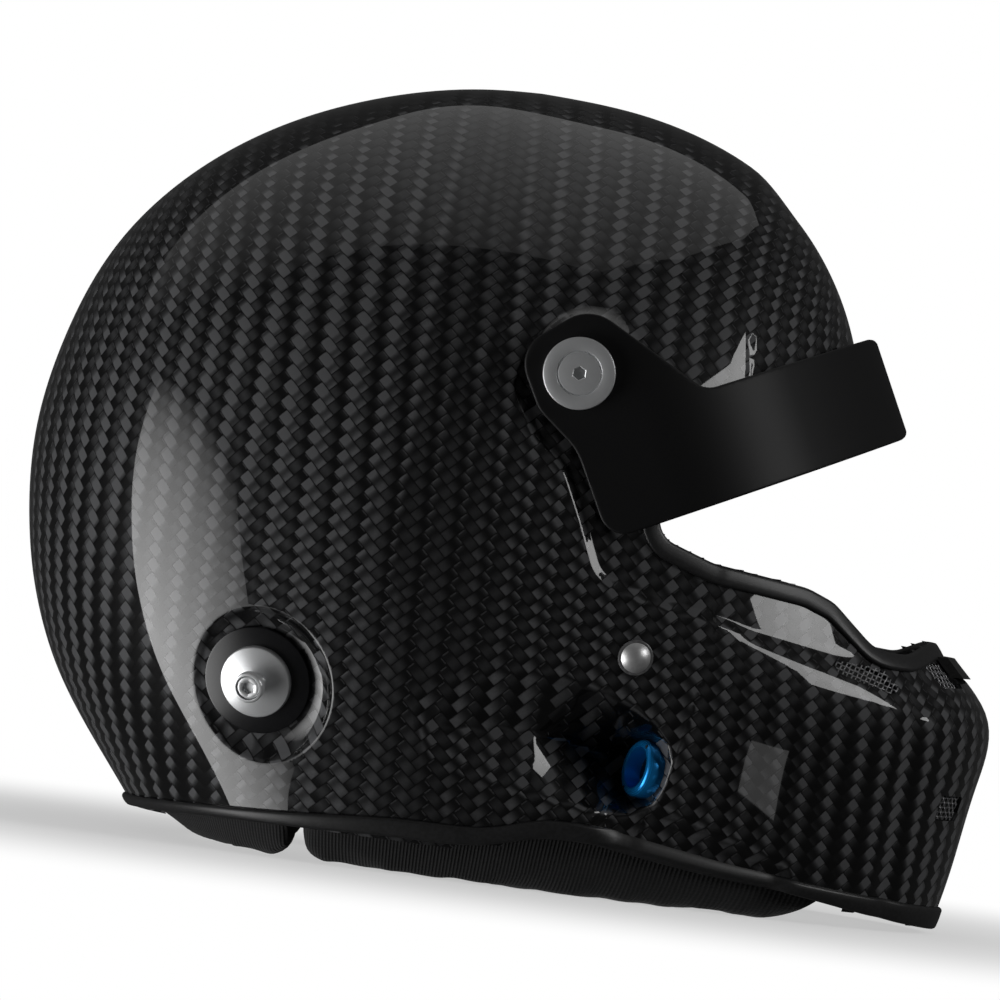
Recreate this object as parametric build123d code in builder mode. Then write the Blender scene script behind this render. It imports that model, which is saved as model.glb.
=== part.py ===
from build123d import *
from math import cos, radians, sin, tan
import os

# Auto racing helmet, open eyeport with a peak. Millimetres.
# X points forward, Y to the wearer's left, Z up. It stands on the base at Z = 0, and its middle
# plane is Y = 0. The right side is modelled, and the left one is its mirror image.

# Overall sizes of the moulded shell
shell_length = 354.0
shell_width = 252.0
shell_height = 280.4
shell_wall = 2.6
seat_gap = 0.3  # between pieces that rest on one another
overrun = 60.0  # how far a cut runs past what it cuts
ring_power = 2.08  # 2 is an ellipse, more is boxier
ring_spots = 12
widest_share = -0.085  # of shell_length, where every ring is widest
crown_share = -0.034

# Rings of the shell, from below the base to the crown: height, rear and front reach and half width,
# as shares of the overall height, length and width, then the lean of the wall in degrees
shell_rings = (
    (-0.250, -0.230, 0.425, 0.340, 20),
    (-0.140, -0.268, 0.443, 0.370, 10),
    (-0.035, -0.317, 0.460, 0.401, 0),
    (0.070, -0.379, 0.479, 0.435, 0),
    (0.190, -0.447, 0.495, 0.468, 0),
    (0.285, -0.479, 0.495, 0.487, 4),
    (0.360, -0.493, 0.442, 0.497, 8),
    (0.480, -0.500, 0.395, 0.499, 8),
    (0.610, -0.483, 0.350, 0.476, 16),
    (0.740, -0.441, 0.319, 0.419, 32),
    (0.855, -0.362, 0.268, 0.330, 47),
    (0.940, -0.253, 0.188, 0.221, 64),
    (0.988, -0.130, 0.075, 0.109, 80),
)

# Side outlines, as shares of the overall length and height, each with its corner radii
eyeport_shares = (
    (0.140, 0.457), (0.128, 0.556), (0.169, 0.612), (0.319, 0.708), (0.565, 0.718),
    (0.565, 0.370), (0.429, 0.370), (0.404, 0.351), (0.370, 0.353), (0.323, 0.404),
    (0.294, 0.418), (0.198, 0.432),
)
eyeport_corners = (9.0, 11.0, 14.0, 20.0, 0.0, 0.0, 6.0, 8.0, 14.0, 14.0, 20.0, 30.0)
recess_shares = (
    (0.000, 0.700), (-0.017, 0.657), (-0.026, 0.618), (0.003, 0.555), (0.034, 0.523),
    (0.056, 0.464), (0.080, 0.392), (0.127, 0.374), (0.249, 0.348), (0.350, 0.337),
    (0.424, 0.325), (0.600, 0.325), (0.600, 0.750), (0.322, 0.733), (0.169, 0.637),
    (0.056, 0.679),
)
recess_corners = (
    4.0, 12.0, 9.0, 14.0, 14.0, 20.0, 14.0, 14.0, 40.0, 30.0, 20.0, 0.0, 0.0, 10.0, 10.0, 10.0,
)
base_shares = (
    (-0.600, 0.025), (-0.345, 0.030), (-0.277, 0.036), (-0.175, 0.039), (-0.076, 0.043),
    (0.011, 0.049), (0.051, 0.062), (0.096, 0.066), (0.161, 0.057), (0.240, 0.043),
    (0.322, 0.031), (0.395, 0.016), (0.486, 0.000), (0.600, -0.019),
)
base_lip_shares = (
    (-0.600, 0.045), (-0.359, 0.046), (-0.297, 0.050), (-0.178, 0.059), (-0.059, 0.069),
    (0.020, 0.075), (0.056, 0.088), (0.093, 0.091), (0.158, 0.082), (0.218, 0.068),
    (0.299, 0.053), (0.379, 0.043), (0.475, 0.032), (0.600, 0.018),
)
liner_shares = (
    (-0.600, 0.107), (-0.175, 0.107), (-0.175, 0.350), (0.090, 0.350), (0.090, 0.590),
    (0.135, 0.672), (0.260, 0.748), (0.600, 0.762), (0.600, 1.100), (-0.600, 1.100),
)
liner_corners = (0.0, 10.0, 10.0, 6.0, 20.0, 10.0, 20.0, 0.0, 0.0, 0.0)
crown_pad_shares = (
    (-0.600, 0.520), (0.040, 0.520), (0.060, 0.640), (0.160, 0.735), (0.600, 0.800),
    (0.600, 1.100), (-0.600, 1.100),
)
crown_pad_corners = (0.0, 12.0, 15.0, 15.0, 0.0, 0.0, 0.0)
cheek_shares = (
    (-0.172, 0.000), (0.310, 0.000), (0.352, 0.030), (0.352, 0.084), (0.243, 0.111),
    (0.203, 0.214), (0.175, 0.332), (-0.155, 0.332), (-0.172, 0.214),
)
cheek_corners = (5.0, 14.0, 8.0, 4.0, 12.0, 20.0, 10.0, 10.0, 10.0)
chin_liner_shares = (
    (0.262, 0.122), (0.232, 0.214), (0.222, 0.290), (0.600, 0.290), (0.600, 0.040), (0.368, 0.054),
    (0.368, 0.100),
)
chin_liner_corners = (6.0, 12.0, 6.0, 0.0, 0.0, 4.0, 6.0)
neck_roll_shares = (
    (-0.320, 0.030), (-0.285, 0.008), (-0.255, 0.000), (-0.181, 0.000), (-0.181, 0.085),
    (-0.600, 0.085), (-0.600, 0.034), (-0.370, 0.034),
)
neck_roll_corners = (6.0, 8.0, 8.0, 5.0, 5.0, 0.0, 0.0, 6.0)
side_vent_shares = ((0.328, 0.334), (0.380, 0.330), (0.403, 0.303), (0.388, 0.299), (0.333, 0.317))
side_vent_corner = 1.5
vent_cover_shares = ((0.420, 0.3505), (0.600, 0.3505), (0.600, 0.3265), (0.420, 0.3265))
chin_groove_shares = ((0.414, 0.290), (0.428, 0.290), (0.418, -0.060), (0.396, -0.060))

# Edge trims
trim_skin = 1.5
trim_reach = 4.8
base_trim_skin = 1.8

# Visor recess and chin groove
recess_depth = 2.0
groove_depth = 1.2

# Peak: a U-shaped sheet on two side screws
pivot_x_share = 0.038
pivot_z_share = 0.644
peak_half_gap = 120.0
peak_sheet = 2.2
peak_front_share = 0.3726  # of shell_length, at the height of the pivot line
peak_lean = 25.9  # forward lean of the front, in degrees
peak_shares = (
    (0.088, 0.443), (0.382, 0.625), (0.335, 0.746), (0.164, 0.645), (0.040, 0.729),
    (-0.026, 0.664), (0.003, 0.593), (0.045, 0.550),
)
peak_corners = (9.0, 4.0, 4.0, 8.0, 14.0, 12.0, 12.0, 20.0)
peak_arm_end_share = -0.250
peak_bend_start_share = 0.085
peak_elbow_turn = 50.0  # the sheet's bend starts tight, runs nearly straight and closes at the nose
peak_brow_turn = 20.0
peak_brow_radius = 200.0
peak_rise = 45.0  # the sheet runs this far above and below the pivot line before it is trimmed
peak_fall = 75.0

# Peak hardware on each side
peak_screw_head = 25.4
peak_screw_head_height = 3.4
peak_screw_step = 15.6
peak_screw_step_depth = 0.9
peak_screw_shank = 6.0
screw_socket = 4.0
screw_socket_depth = 2.0
shank_clearance = 0.3
thread_gap = 0.1
edge_break = 0.5
washer_thickness = 0.8
washer_diameter = 22.0
insert_diameter = 9.6
insert_length = 10.5
boss_diameter = 30.0
boss_depth = 18.0
boss_draft = 30.0

# Head restraint anchor on each side
anchor_x_share = -0.239
anchor_z_share = 0.211
anchor_yaw = -15.4
anchor_pitch = -15.9
anchor_pocket_depth = 4.6
anchor_pocket_radius = 28.0
anchor_ring_diameter = 38.6
anchor_ring_thickness = 1.8
anchor_disc_diameter = 25.4
anchor_disc_thickness = 2.8
anchor_disc_edge = 0.8
anchor_waist = 7.4
anchor_waist_height = 4.6
anchor_head = 10.8
anchor_head_height = 3.2
anchor_spigot = 11.6
anchor_screw_head = 8.2
anchor_screw_head_height = 2.2
anchor_screw_shank = 6.0
anchor_nut_flange = 22.0
anchor_nut_flange_thickness = 1.6
anchor_nut_barrel = 11.0
anchor_nut_length = 7.0

# Chin strap anchor on each side
rivet_x_share = 0.129
rivet_z_share = 0.304
rivet_yaw = 14.0
rivet_pitch = -7.5
rivet_dome = 10.6
rivet_dome_height = 2.6
rivet_collar = 12.6
rivet_collar_thickness = 0.8
rivet_collar_lift = 0.5  # clears the shell's own curve
rivet_shank = 5.0
rivet_tail = 10.0
rivet_tail_thickness = 1.6
strap_plate_width = 24.0
strap_plate_drop = 9.5
strap_plate_rise = 6.0
strap_plate_thickness = 1.6
strap_plate_gap = 0.9  # clears the shell's own curve
strap_plate_corner = 3.0
strap_plate_setback = 5.8
rivet_relief = 6.0
rivet_depth = 8.0

# Chin strap
strap_width = 20.0
strap_thickness = 2.2
strap_z_share = 0.279
strap_half_span = 52.6
strap_bottom_share = 0.052
strap_corner = 20.0
strap_top = 1.6
strap_tail_length = 54.0
tail_width_share = 0.98
strap_slack = 1.2
d_ring_wire = 2.4
d_ring_length = 27.5
d_ring_depth = 19.0
d_ring_lean = 35.0
d_ring_spacing = 8.0
d_ring_y = 14.0
d_ring_bow = 8.0
snap_y = -14.0
snap_diameter = 9.0
snap_cap_height = 1.6

# Drink and radio port on each side
port_x_share = 0.160
port_y_share = 0.367
port_z_share = 0.164
port_yaw = -62.5
port_pitch = 8.0
port_pocket_rise = 4.6
port_pocket_half_height = 19.6
port_pocket_half_depth = 15.0
port_pocket_corner = 5.0
port_pocket_length = 115.0
port_ring_diameter = 20.5
port_ring_length = 6.4
port_ring_edge = 1.4
port_bore = 14.6
port_barrel = 17.4
port_nut_diameter = 19.6
port_nut_thickness = 3.4
port_barrel_length = 7.6
spanner_holes = 2
spanner_angle = 60.0
spanner_hole = 1.5
spanner_hole_depth = 1.4

# Chin vents
mesh_wire = 0.9
mesh_pitch = 3.6
mesh_depth = 1.2
recessed_mesh_depth = 2.4
mesh_thickness = 0.8
vent_rim = 0.25
side_vent_centre_share = (0.364, 0.3175)
side_vent_slope = -18.0
side_vent_columns = 6
side_vent_rows = 2
front_vent_columns = 4
front_vent_rows = 2
front_vent_width = 16.0
front_vent_height = 9.0
front_vent_y = 34.0
front_vent_upper_share = 0.330
front_vent_lower_share = 0.161
front_vent_corner = 1.2
vent_cover_half_width = 25.0
vent_cover_proud = 2.4

# Liners
liner_thickness = 27.0
crown_pad_thickness = 9.0
liner_split_share = -0.060  # of shell_length, where the front and rear liners meet
pad_seam_rear_share = -0.222
pad_seam_front_share = 0.092
pad_seam_side_share = 0.150  # of shell_width, on each side of the middle panel
pad_seam = 3.0
chin_liner_thickness = 12.0
face_x_share = 0.085
face_half_length = 140.0
face_half_width = 60.0
neck_roll_thickness = 24.0


def ring_at(height):
    """Rear and front reach and half width of the shell form at a height."""
    share = height / shell_height
    for low, high in zip(shell_rings, shell_rings[1:]):
        if share <= high[0]:
            break
    part_way = (share - low[0]) / (high[0] - low[0])
    rear, front, half = (a + (b - a) * part_way for a, b in zip(low[1:4], high[1:4]))
    return rear * shell_length, front * shell_length, half * shell_width


def side_reach(x, height):
    """Distance of the shell form's side from the middle plane."""
    rear, front, half = ring_at(height)
    middle = widest_share * shell_length
    reach = front - middle if x > middle else middle - rear
    share = abs(x - middle) / reach
    return half * (1 - share**ring_power) ** (1 / ring_power)


def ring_points(rear, front, half):
    """Points round one ring, a superellipse with unequal front and rear halves."""
    middle = widest_share * shell_length
    points = []
    for spot in range(ring_spots):
        angle = radians(180 + 360 * spot / ring_spots)
        along = abs(cos(angle)) ** (2 / ring_power)
        across = abs(sin(angle)) ** (2 / ring_power)
        x = middle + along * (front - middle) if cos(angle) > 0 else middle - along * (middle - rear)
        points.append((x, across * half if sin(angle) > 0 else -across * half))
    return points


made_forms = {}


def shell_form(grow=0.0):
    """The solid that fills the shell's outside form, grown by an even skin all over."""
    if grow not in made_forms:
        rings = []
        for height, rear, front, half, lean in shell_rings:
            side = grow * cos(radians(lean))
            rise = grow * sin(radians(lean))
            with BuildSketch(Plane.XY.offset(height * shell_height + rise)) as ring:
                with BuildLine():
                    Spline(
                        *ring_points(
                            rear * shell_length - side,
                            front * shell_length + side,
                            half * shell_width + side,
                        ),
                        periodic=True,
                    )
                make_face()
            rings.append(ring.sketch)
        with BuildPart() as form:
            loft([*rings, Vertex(crown_share * shell_length, 0, shell_height + grow)])
        made_forms[grow] = form.part
    return made_forms[grow]


def placed(shares):
    return [(x * shell_length, z * shell_height) for x, z in shares]


made_halves = {}


def right_form(grow=0.0):
    """Right half of the grown form."""
    if grow not in made_halves:
        with BuildPart() as half:
            add(shell_form(grow))
            split(bisect_by=Plane.XZ, keep=Keep.TOP)
        made_halves[grow] = half.part
    return made_halves[grow]


def side_prism(shares, corners, grow=0.0):
    """A side outline pushed out of the middle plane to the right."""
    with BuildPart() as prism:
        with BuildSketch(Plane.XZ):
            with BuildLine():
                FilletPolyline(*placed(shares), radius=corners, close=True)
            make_face()
            if grow:
                offset(amount=grow, kind=Kind.ARC)
        extrude(amount=shell_width)
    return prism.part


def below_line(shares, lift=0.0):
    """Everything on the right under a smooth side line."""
    points = [(x, z + lift) for x, z in placed(shares)]
    with BuildPart() as prism:
        with BuildSketch(Plane.XZ):
            with BuildLine():
                Spline(*points)
                Polyline(
                    points[-1], (points[-1][0], -shell_height), (points[0][0], -shell_height), points[0]
                )
            make_face()
        extrude(amount=shell_width)
    return prism.part


def outside_of(region, depth):
    """The part of a side region that lies outside the form sunk by depth."""
    with BuildPart() as slab:
        add(region)
        add(right_form(-depth), mode=Mode.SUBTRACT, clean=False)
    return slab.part


def outward(yaw, pitch):
    """Direction out of the right side: yaw turns it forward, pitch turns it up."""
    level = cos(radians(pitch))
    return Vector(sin(radians(yaw)) * level, -cos(radians(yaw)) * level, sin(radians(pitch)))


def side_plane(spot, yaw, pitch, depth=0.0):
    """Plane facing out of the right side, sunk by depth under a spot, with its x forward."""
    out = outward(yaw, pitch)
    return Plane(origin=Vector(*spot) - out * depth, x_dir=(-out.Y, out.X, 0), z_dir=out)


# Places on the right side
pivot_x = pivot_x_share * shell_length
pivot_z = pivot_z_share * shell_height
arm_outside = peak_half_gap + peak_sheet
washer_seat = peak_half_gap - seat_gap - washer_thickness
boss_face = washer_seat - seat_gap / 2
pivot_plane = Plane(origin=(pivot_x, 0, pivot_z), x_dir=(1, 0, 0), z_dir=(0, -1, 0))

anchor_x = anchor_x_share * shell_length
anchor_z = anchor_z_share * shell_height
anchor_spot = (anchor_x, -side_reach(anchor_x, anchor_z), anchor_z)
anchor_plane = side_plane(anchor_spot, anchor_yaw, anchor_pitch, anchor_pocket_depth)
post_seat = anchor_ring_thickness + seat_gap / 3

rivet_x = rivet_x_share * shell_length
rivet_z = rivet_z_share * shell_height
rivet_spot = (rivet_x, -side_reach(rivet_x, rivet_z), rivet_z)
rivet_plane = side_plane(rivet_spot, rivet_yaw, rivet_pitch)

port_spot = (port_x_share * shell_length, -port_y_share * shell_width, port_z_share * shell_height)
port_plane = side_plane(port_spot, port_yaw, port_pitch)

strap_z = strap_z_share * shell_height
strap_bottom = strap_bottom_share * shell_height

# Regions and cutters on the right side
eyeport = side_prism(eyeport_shares, eyeport_corners)
eyeport_edge = side_prism(eyeport_shares, eyeport_corners, trim_skin)
recess = side_prism(recess_shares, recess_corners)
recess_inside = side_prism(recess_shares, recess_corners, shell_wall)
groove = side_prism(chin_groove_shares, 0.0)
base_edge = below_line(base_shares, trim_skin)
side_vent = side_prism(side_vent_shares, side_vent_corner)


def disc(plane, diameter, start, height):
    """A round bar on a plane's axis."""
    with BuildPart() as bar:
        with BuildSketch(plane.offset(start)):
            Circle(diameter / 2)
        extrude(amount=height)
    return bar.part


def port_scoop(grow=0.0):
    """The oblique pocket of the port, which runs out rearward to the shell's face."""
    with BuildPart() as scoop:
        with BuildSketch(port_plane.offset(-grow)):
            with Locations((0, port_pocket_rise)):
                Ellipse(port_pocket_half_depth + grow, port_pocket_half_height + grow)
        extrude(amount=port_pocket_length)
        seat_edge = scoop.faces().sort_by(Axis(port_plane.origin, port_plane.z_dir))[0].edges()
        fillet(seat_edge, port_pocket_corner)
    return scoop.part


def anchor_pocket(grow=0.0):
    return disc(anchor_plane, (anchor_pocket_radius + grow) * 2, -grow, overrun)


def front_vent(height_share, rim=0.0):
    """The opening of one front vent less a rim, pushed through the chin."""
    with BuildPart() as opening:
        with BuildSketch(Plane.YZ):
            with Locations((-front_vent_y, height_share * shell_height)):
                RectangleRounded(
                    front_vent_width - rim * 2, front_vent_height - rim * 2, front_vent_corner
                )
        extrude(amount=shell_length)
    return opening.part


front_vent_upper = front_vent(front_vent_upper_share)
front_vent_lower = front_vent(front_vent_lower_share)
with BuildPart() as boss:
    with BuildSketch(pivot_plane.offset(boss_face)):
        Circle(boss_diameter / 2)
    extrude(amount=-boss_depth, taper=-boss_draft)
anchor_hole = disc(anchor_plane, anchor_screw_shank + seat_gap, -overrun, overrun)
rivet_hole = disc(rivet_plane, rivet_shank + seat_gap, -overrun / 2, overrun)
rivet_seat = disc(rivet_plane, rivet_collar + seat_gap * 2, rivet_collar_lift - thread_gap, overrun)
port_hole = disc(port_plane, port_barrel + seat_gap, -overrun / 2, overrun)
insert_hole = disc(pivot_plane, insert_diameter + seat_gap / 3, boss_face - insert_length, overrun)
nodes = {}

# Moulded shell: the outside with its pockets, less the cavity with their backings
with BuildPart() as outside:
    add(right_form())
    add(
        [
            outside_of(recess, recess_depth),
            outside_of(groove, groove_depth),
            anchor_pocket(),
            port_scoop(),
        ],
        mode=Mode.SUBTRACT,
        clean=False,
    )
    add(boss.part, clean=False)

with BuildPart() as cavity:
    add(right_form(-shell_wall))
    add(
        [
            outside_of(recess_inside, shell_wall + recess_depth),
            anchor_pocket(shell_wall),
            port_scoop(shell_wall),
        ],
        mode=Mode.SUBTRACT,
        clean=False,
    )

with BuildPart() as shell_right:
    add(outside.part)
    add([cavity.part, eyeport_edge, base_edge], mode=Mode.SUBTRACT, clean=False)
    add(
        [
            insert_hole,
            anchor_hole,
            rivet_hole,
            rivet_seat,
            port_hole,
            side_vent,
            front_vent_upper,
            front_vent_lower,
        ],
        mode=Mode.SUBTRACT,
        clean=False,
    )

with BuildPart() as outer_shell:
    add(shell_right.part)
    mirror(about=Plane.XZ)
nodes["outer_shell"] = outer_shell.part

# Rubber edge trims: U-sections that straddle the shell's edge
with BuildPart() as eyeport_trim:
    add(right_form(trim_skin - recess_depth))
    add(side_prism(eyeport_shares, eyeport_corners, trim_reach), mode=Mode.INTERSECT, clean=False)
    add(
        [right_form(-shell_wall - recess_depth - trim_skin), eyeport, shell_right.part],
        mode=Mode.SUBTRACT,
        clean=False,
    )
    mirror(about=Plane.XZ)
nodes["eyeport_trim"] = eyeport_trim.part

with BuildPart() as base_trim:
    add(right_form(base_trim_skin))
    add(below_line(base_lip_shares), mode=Mode.INTERSECT, clean=False)
    add(
        [right_form(-shell_wall - base_trim_skin), below_line(base_shares), shell_right.part],
        mode=Mode.SUBTRACT,
        clean=False,
    )
    mirror(about=Plane.XZ)
nodes["base_trim"] = base_trim.part

# Impact liner under the shell, crown pad inside it, and the chin bar's own liner
liner_outside = -shell_wall - seat_gap
liner_inside = liner_outside - liner_thickness
pad_outside = liner_inside - seat_gap
trim_inside = -shell_wall - base_trim_skin - seat_gap

with BuildPart() as impact_liner:
    add(right_form(liner_outside))
    add(side_prism(liner_shares, liner_corners), mode=Mode.INTERSECT, clean=False)
    add(
        [
            right_form(liner_inside),
            outside_of(
                side_prism(recess_shares, recess_corners, shell_wall + seat_gap),
                shell_wall + recess_depth + seat_gap,
            ),
            anchor_pocket(shell_wall + seat_gap),
            disc(anchor_plane, anchor_nut_flange + seat_gap * 2, -liner_thickness, liner_thickness),
            disc(pivot_plane, insert_diameter + seat_gap * 2, boss_face - boss_depth, overrun),
        ],
        mode=Mode.SUBTRACT,
        clean=False,
    )
    mirror(about=Plane.XZ)

with BuildPart() as crown_pad:
    add(right_form(pad_outside))
    add(side_prism(crown_pad_shares, crown_pad_corners), mode=Mode.INTERSECT, clean=False)
    add(right_form(pad_outside - crown_pad_thickness), mode=Mode.SUBTRACT, clean=False)
    mirror(about=Plane.XZ)


def panel(whole, x_from, x_to, y_from, y_to):
    """What lies of a whole between two X and two Y bounds."""
    with BuildPart() as cut:
        with BuildSketch():
            with Locations(((x_from + x_to) / 2, (y_from + y_to) / 2)):
                Rectangle(x_to - x_from, y_to - y_from)
        extrude(amount=shell_height)
        add(whole.part, mode=Mode.INTERSECT, clean=False)
    return cut.part


# The liner comes in a front and a rear half, and the crown pad in five sewn panels
liner_split = liner_split_share * shell_length
nodes["impact_liner_front"] = panel(
    impact_liner, liner_split + seat_gap / 2, shell_length, -shell_width, shell_width
)
nodes["impact_liner_rear"] = panel(
    impact_liner, -shell_length, liner_split - seat_gap / 2, -shell_width, shell_width
)
seam_rear = pad_seam_rear_share * shell_length
seam_front = pad_seam_front_share * shell_length
seam_side = pad_seam_side_share * shell_width
nodes["crown_pad_front"] = panel(
    crown_pad, seam_front + pad_seam / 2, shell_length, -shell_width, shell_width
)
nodes["crown_pad_rear"] = panel(
    crown_pad, -shell_length, seam_rear - pad_seam / 2, -shell_width, shell_width
)
nodes["crown_pad_top"] = panel(
    crown_pad, seam_rear + pad_seam / 2, seam_front - pad_seam / 2, -seam_side, seam_side
)
nodes["crown_pad_side_right"] = panel(
    crown_pad,
    seam_rear + pad_seam / 2,
    seam_front - pad_seam / 2,
    -shell_width,
    -seam_side - pad_seam,
)

with BuildPart() as chin_liner:
    add(right_form(liner_outside))
    add(side_prism(chin_liner_shares, chin_liner_corners), mode=Mode.INTERSECT, clean=False)
    add(
        [right_form(liner_outside - chin_liner_thickness), front_vent_lower],
        mode=Mode.SUBTRACT,
        clean=False,
    )
    mirror(about=Plane.XZ)
nodes["chin_liner"] = chin_liner.part

# Cheek pads, hollowed for the face, slit for the strap and relieved round the hardware
strap_slit = Box(
    strap_width + strap_slack,
    shell_width,
    strap_thickness + strap_slack,
    mode=Mode.PRIVATE,
).moved(Location((rivet_x, -shell_width / 2, strap_z)))
with BuildPart() as face_column:
    with BuildSketch(Plane.XY.offset(-overrun)):
        with Locations((face_x_share * shell_length, 0)):
            Ellipse(face_half_length, face_half_width)
    extrude(amount=shell_height)

with BuildPart() as cheek_pad_right:
    add(right_form(trim_inside))
    add(side_prism(cheek_shares, cheek_corners), mode=Mode.INTERSECT, clean=False)
    add(
        [
            face_column.part,
            strap_slit,
            port_scoop(shell_wall + seat_gap),
            disc(port_plane, port_nut_diameter + seat_gap * 4, -liner_thickness, overrun),
            anchor_pocket(shell_wall + seat_gap),
            disc(rivet_plane, strap_plate_width + rivet_relief * 2, -rivet_depth, overrun),
        ],
        mode=Mode.SUBTRACT,
        clean=False,
    )
nodes["cheek_pad_right"] = cheek_pad_right.part

with BuildPart() as neck_roll:
    add(right_form(trim_inside))
    add(side_prism(neck_roll_shares, neck_roll_corners), mode=Mode.INTERSECT, clean=False)
    add(right_form(trim_inside - neck_roll_thickness), mode=Mode.SUBTRACT, clean=False)
    mirror(about=Plane.XZ)
nodes["neck_roll"] = neck_roll.part

# Peak: a sheet bent round the brow, raked forward, then trimmed to its side outline
rake = tan(radians(peak_lean))
arm_x = peak_arm_end_share * shell_length
bend_x = peak_bend_start_share * shell_length - peak_rise * rake
nose_x = peak_front_share * shell_length - peak_rise * rake
elbow = radians(peak_elbow_turn)
brow = radians(peak_elbow_turn + peak_brow_turn)
bend_ahead = nose_x - bend_x - peak_brow_radius * (sin(brow) - sin(elbow))
bend_across = arm_outside - peak_brow_radius * (cos(elbow) - cos(brow))
bend_share = sin(elbow) * cos(brow) - (1 - sin(brow)) * (1 - cos(elbow))
elbow_radius = (bend_ahead * cos(brow) - bend_across * (1 - sin(brow))) / bend_share
nose_radius = (bend_across * sin(elbow) - bend_ahead * (1 - cos(elbow))) / bend_share
bends = (
    (elbow_radius, peak_elbow_turn),
    (peak_brow_radius, peak_brow_turn),
    (nose_radius, 90 - peak_elbow_turn - peak_brow_turn),
)
with BuildPart() as peak:
    with BuildSketch(Plane.XY.offset(pivot_z + peak_rise)):
        with BuildLine():
            noses = []
            for inset in (0, peak_sheet):
                spot = (bend_x, inset - arm_outside)
                heading = (1, 0)
                for radius, turn in bends:
                    arc = JernArc(spot, heading, radius - inset, turn)
                    spot = arc @ 1
                    heading = arc % 1
                noses.append(spot)
            Line(*noses)
            Polyline(
                (bend_x, -arm_outside), (arm_x, -arm_outside), (arm_x, -peak_half_gap),
                (bend_x, -peak_half_gap),
            )
        make_face()
    extrude(
        amount=(peak_rise + peak_fall) / cos(radians(peak_lean)),
        dir=(sin(radians(peak_lean)), 0, -cos(radians(peak_lean))),
    )
    add(side_prism(peak_shares, peak_corners), mode=Mode.INTERSECT)
    add(
        disc(pivot_plane, peak_screw_shank + shank_clearance * 2, 0, shell_width),
        mode=Mode.SUBTRACT,
    )
    mirror(about=Plane.XZ)
nodes["peak"] = peak.part

# Peak screw, slip washer and threaded insert
head_seat = arm_outside + seat_gap / 3
with BuildPart() as peak_screw_right:
    with BuildSketch(pivot_plane.offset(head_seat)):
        Circle(peak_screw_head / 2)
    extrude(amount=peak_screw_head_height)
    chamfer(peak_screw_right.edges().sort_by(Axis.Y)[0], edge_break)
    with BuildSketch(pivot_plane.offset(head_seat + peak_screw_head_height)):
        Circle(peak_screw_step / 2)
    extrude(amount=-peak_screw_step_depth, mode=Mode.SUBTRACT)
    with BuildSketch(pivot_plane.offset(head_seat + peak_screw_head_height - peak_screw_step_depth)):
        RegularPolygon(screw_socket / 2, side_count=6, major_radius=False)
    extrude(amount=-screw_socket_depth, mode=Mode.SUBTRACT)
    add(disc(pivot_plane, peak_screw_shank, boss_face - insert_length, head_seat - boss_face + insert_length))
nodes["peak_screw_right"] = peak_screw_right.part

with BuildPart() as peak_washer_right:
    with BuildSketch(pivot_plane.offset(washer_seat)):
        Circle(washer_diameter / 2)
        Circle(peak_screw_shank / 2 + shank_clearance, mode=Mode.SUBTRACT)
    extrude(amount=washer_thickness)
nodes["peak_washer_right"] = peak_washer_right.part

with BuildPart() as peak_insert_right:
    with BuildSketch(pivot_plane.offset(boss_face - insert_length)):
        RegularPolygon(insert_diameter / 2, side_count=12)
        Circle(peak_screw_shank / 2 + thread_gap, mode=Mode.SUBTRACT)
    extrude(amount=insert_length)
nodes["peak_insert_right"] = peak_insert_right.part

# Head restraint anchor: plate, turned post, screw and the nut inside the shell
with BuildPart() as anchor_ring_right:
    with BuildSketch(anchor_plane.offset(seat_gap / 3)):
        Circle(anchor_ring_diameter / 2)
        Circle(anchor_spigot / 2 + thread_gap, mode=Mode.SUBTRACT)
    extrude(amount=anchor_ring_thickness)
    rim = anchor_ring_right.edges().filter_by(GeomType.CIRCLE).sort_by(SortBy.RADIUS)[-2:]
    chamfer(rim.sort_by(Axis(anchor_plane.origin, anchor_plane.z_dir))[-1], edge_break)
nodes["anchor_ring_right"] = anchor_ring_right.part

disc_seat = anchor_ring_thickness + seat_gap * 2 / 3
disc_top = disc_seat + anchor_disc_thickness
waist_top = disc_top + anchor_waist_height
head_top = waist_top + anchor_head_height
post_profile = (
    (anchor_screw_shank / 2 + thread_gap, seat_gap / 3),
    (anchor_spigot / 2, seat_gap / 3),
    (anchor_spigot / 2, disc_seat),
    (anchor_disc_diameter / 2, disc_seat),
    (anchor_disc_diameter / 2, disc_top - anchor_disc_edge),
    (anchor_disc_diameter / 2 - anchor_disc_edge, disc_top),
    (anchor_waist / 2, disc_top),
    (anchor_waist / 2, waist_top),
    (anchor_head / 2, waist_top),
    (anchor_head / 2, head_top - edge_break),
    (anchor_head / 2 - edge_break, head_top),
    (anchor_screw_head / 2 + thread_gap * 2, head_top),
    (anchor_screw_head / 2 + thread_gap * 2, head_top - anchor_screw_head_height - edge_break),
    (anchor_screw_shank / 2 + thread_gap, head_top - anchor_screw_head_height - edge_break),
)
anchor_section = Plane(
    origin=anchor_plane.origin, x_dir=anchor_plane.x_dir, z_dir=-anchor_plane.y_dir
)
anchor_axis = Axis(anchor_plane.origin, anchor_plane.z_dir)
with BuildPart() as anchor_post_right:
    with BuildSketch(anchor_section):
        with BuildLine():
            Polyline(*post_profile, close=True)
        make_face()
    revolve(axis=anchor_axis)
nodes["anchor_post_right"] = anchor_post_right.part

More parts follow.
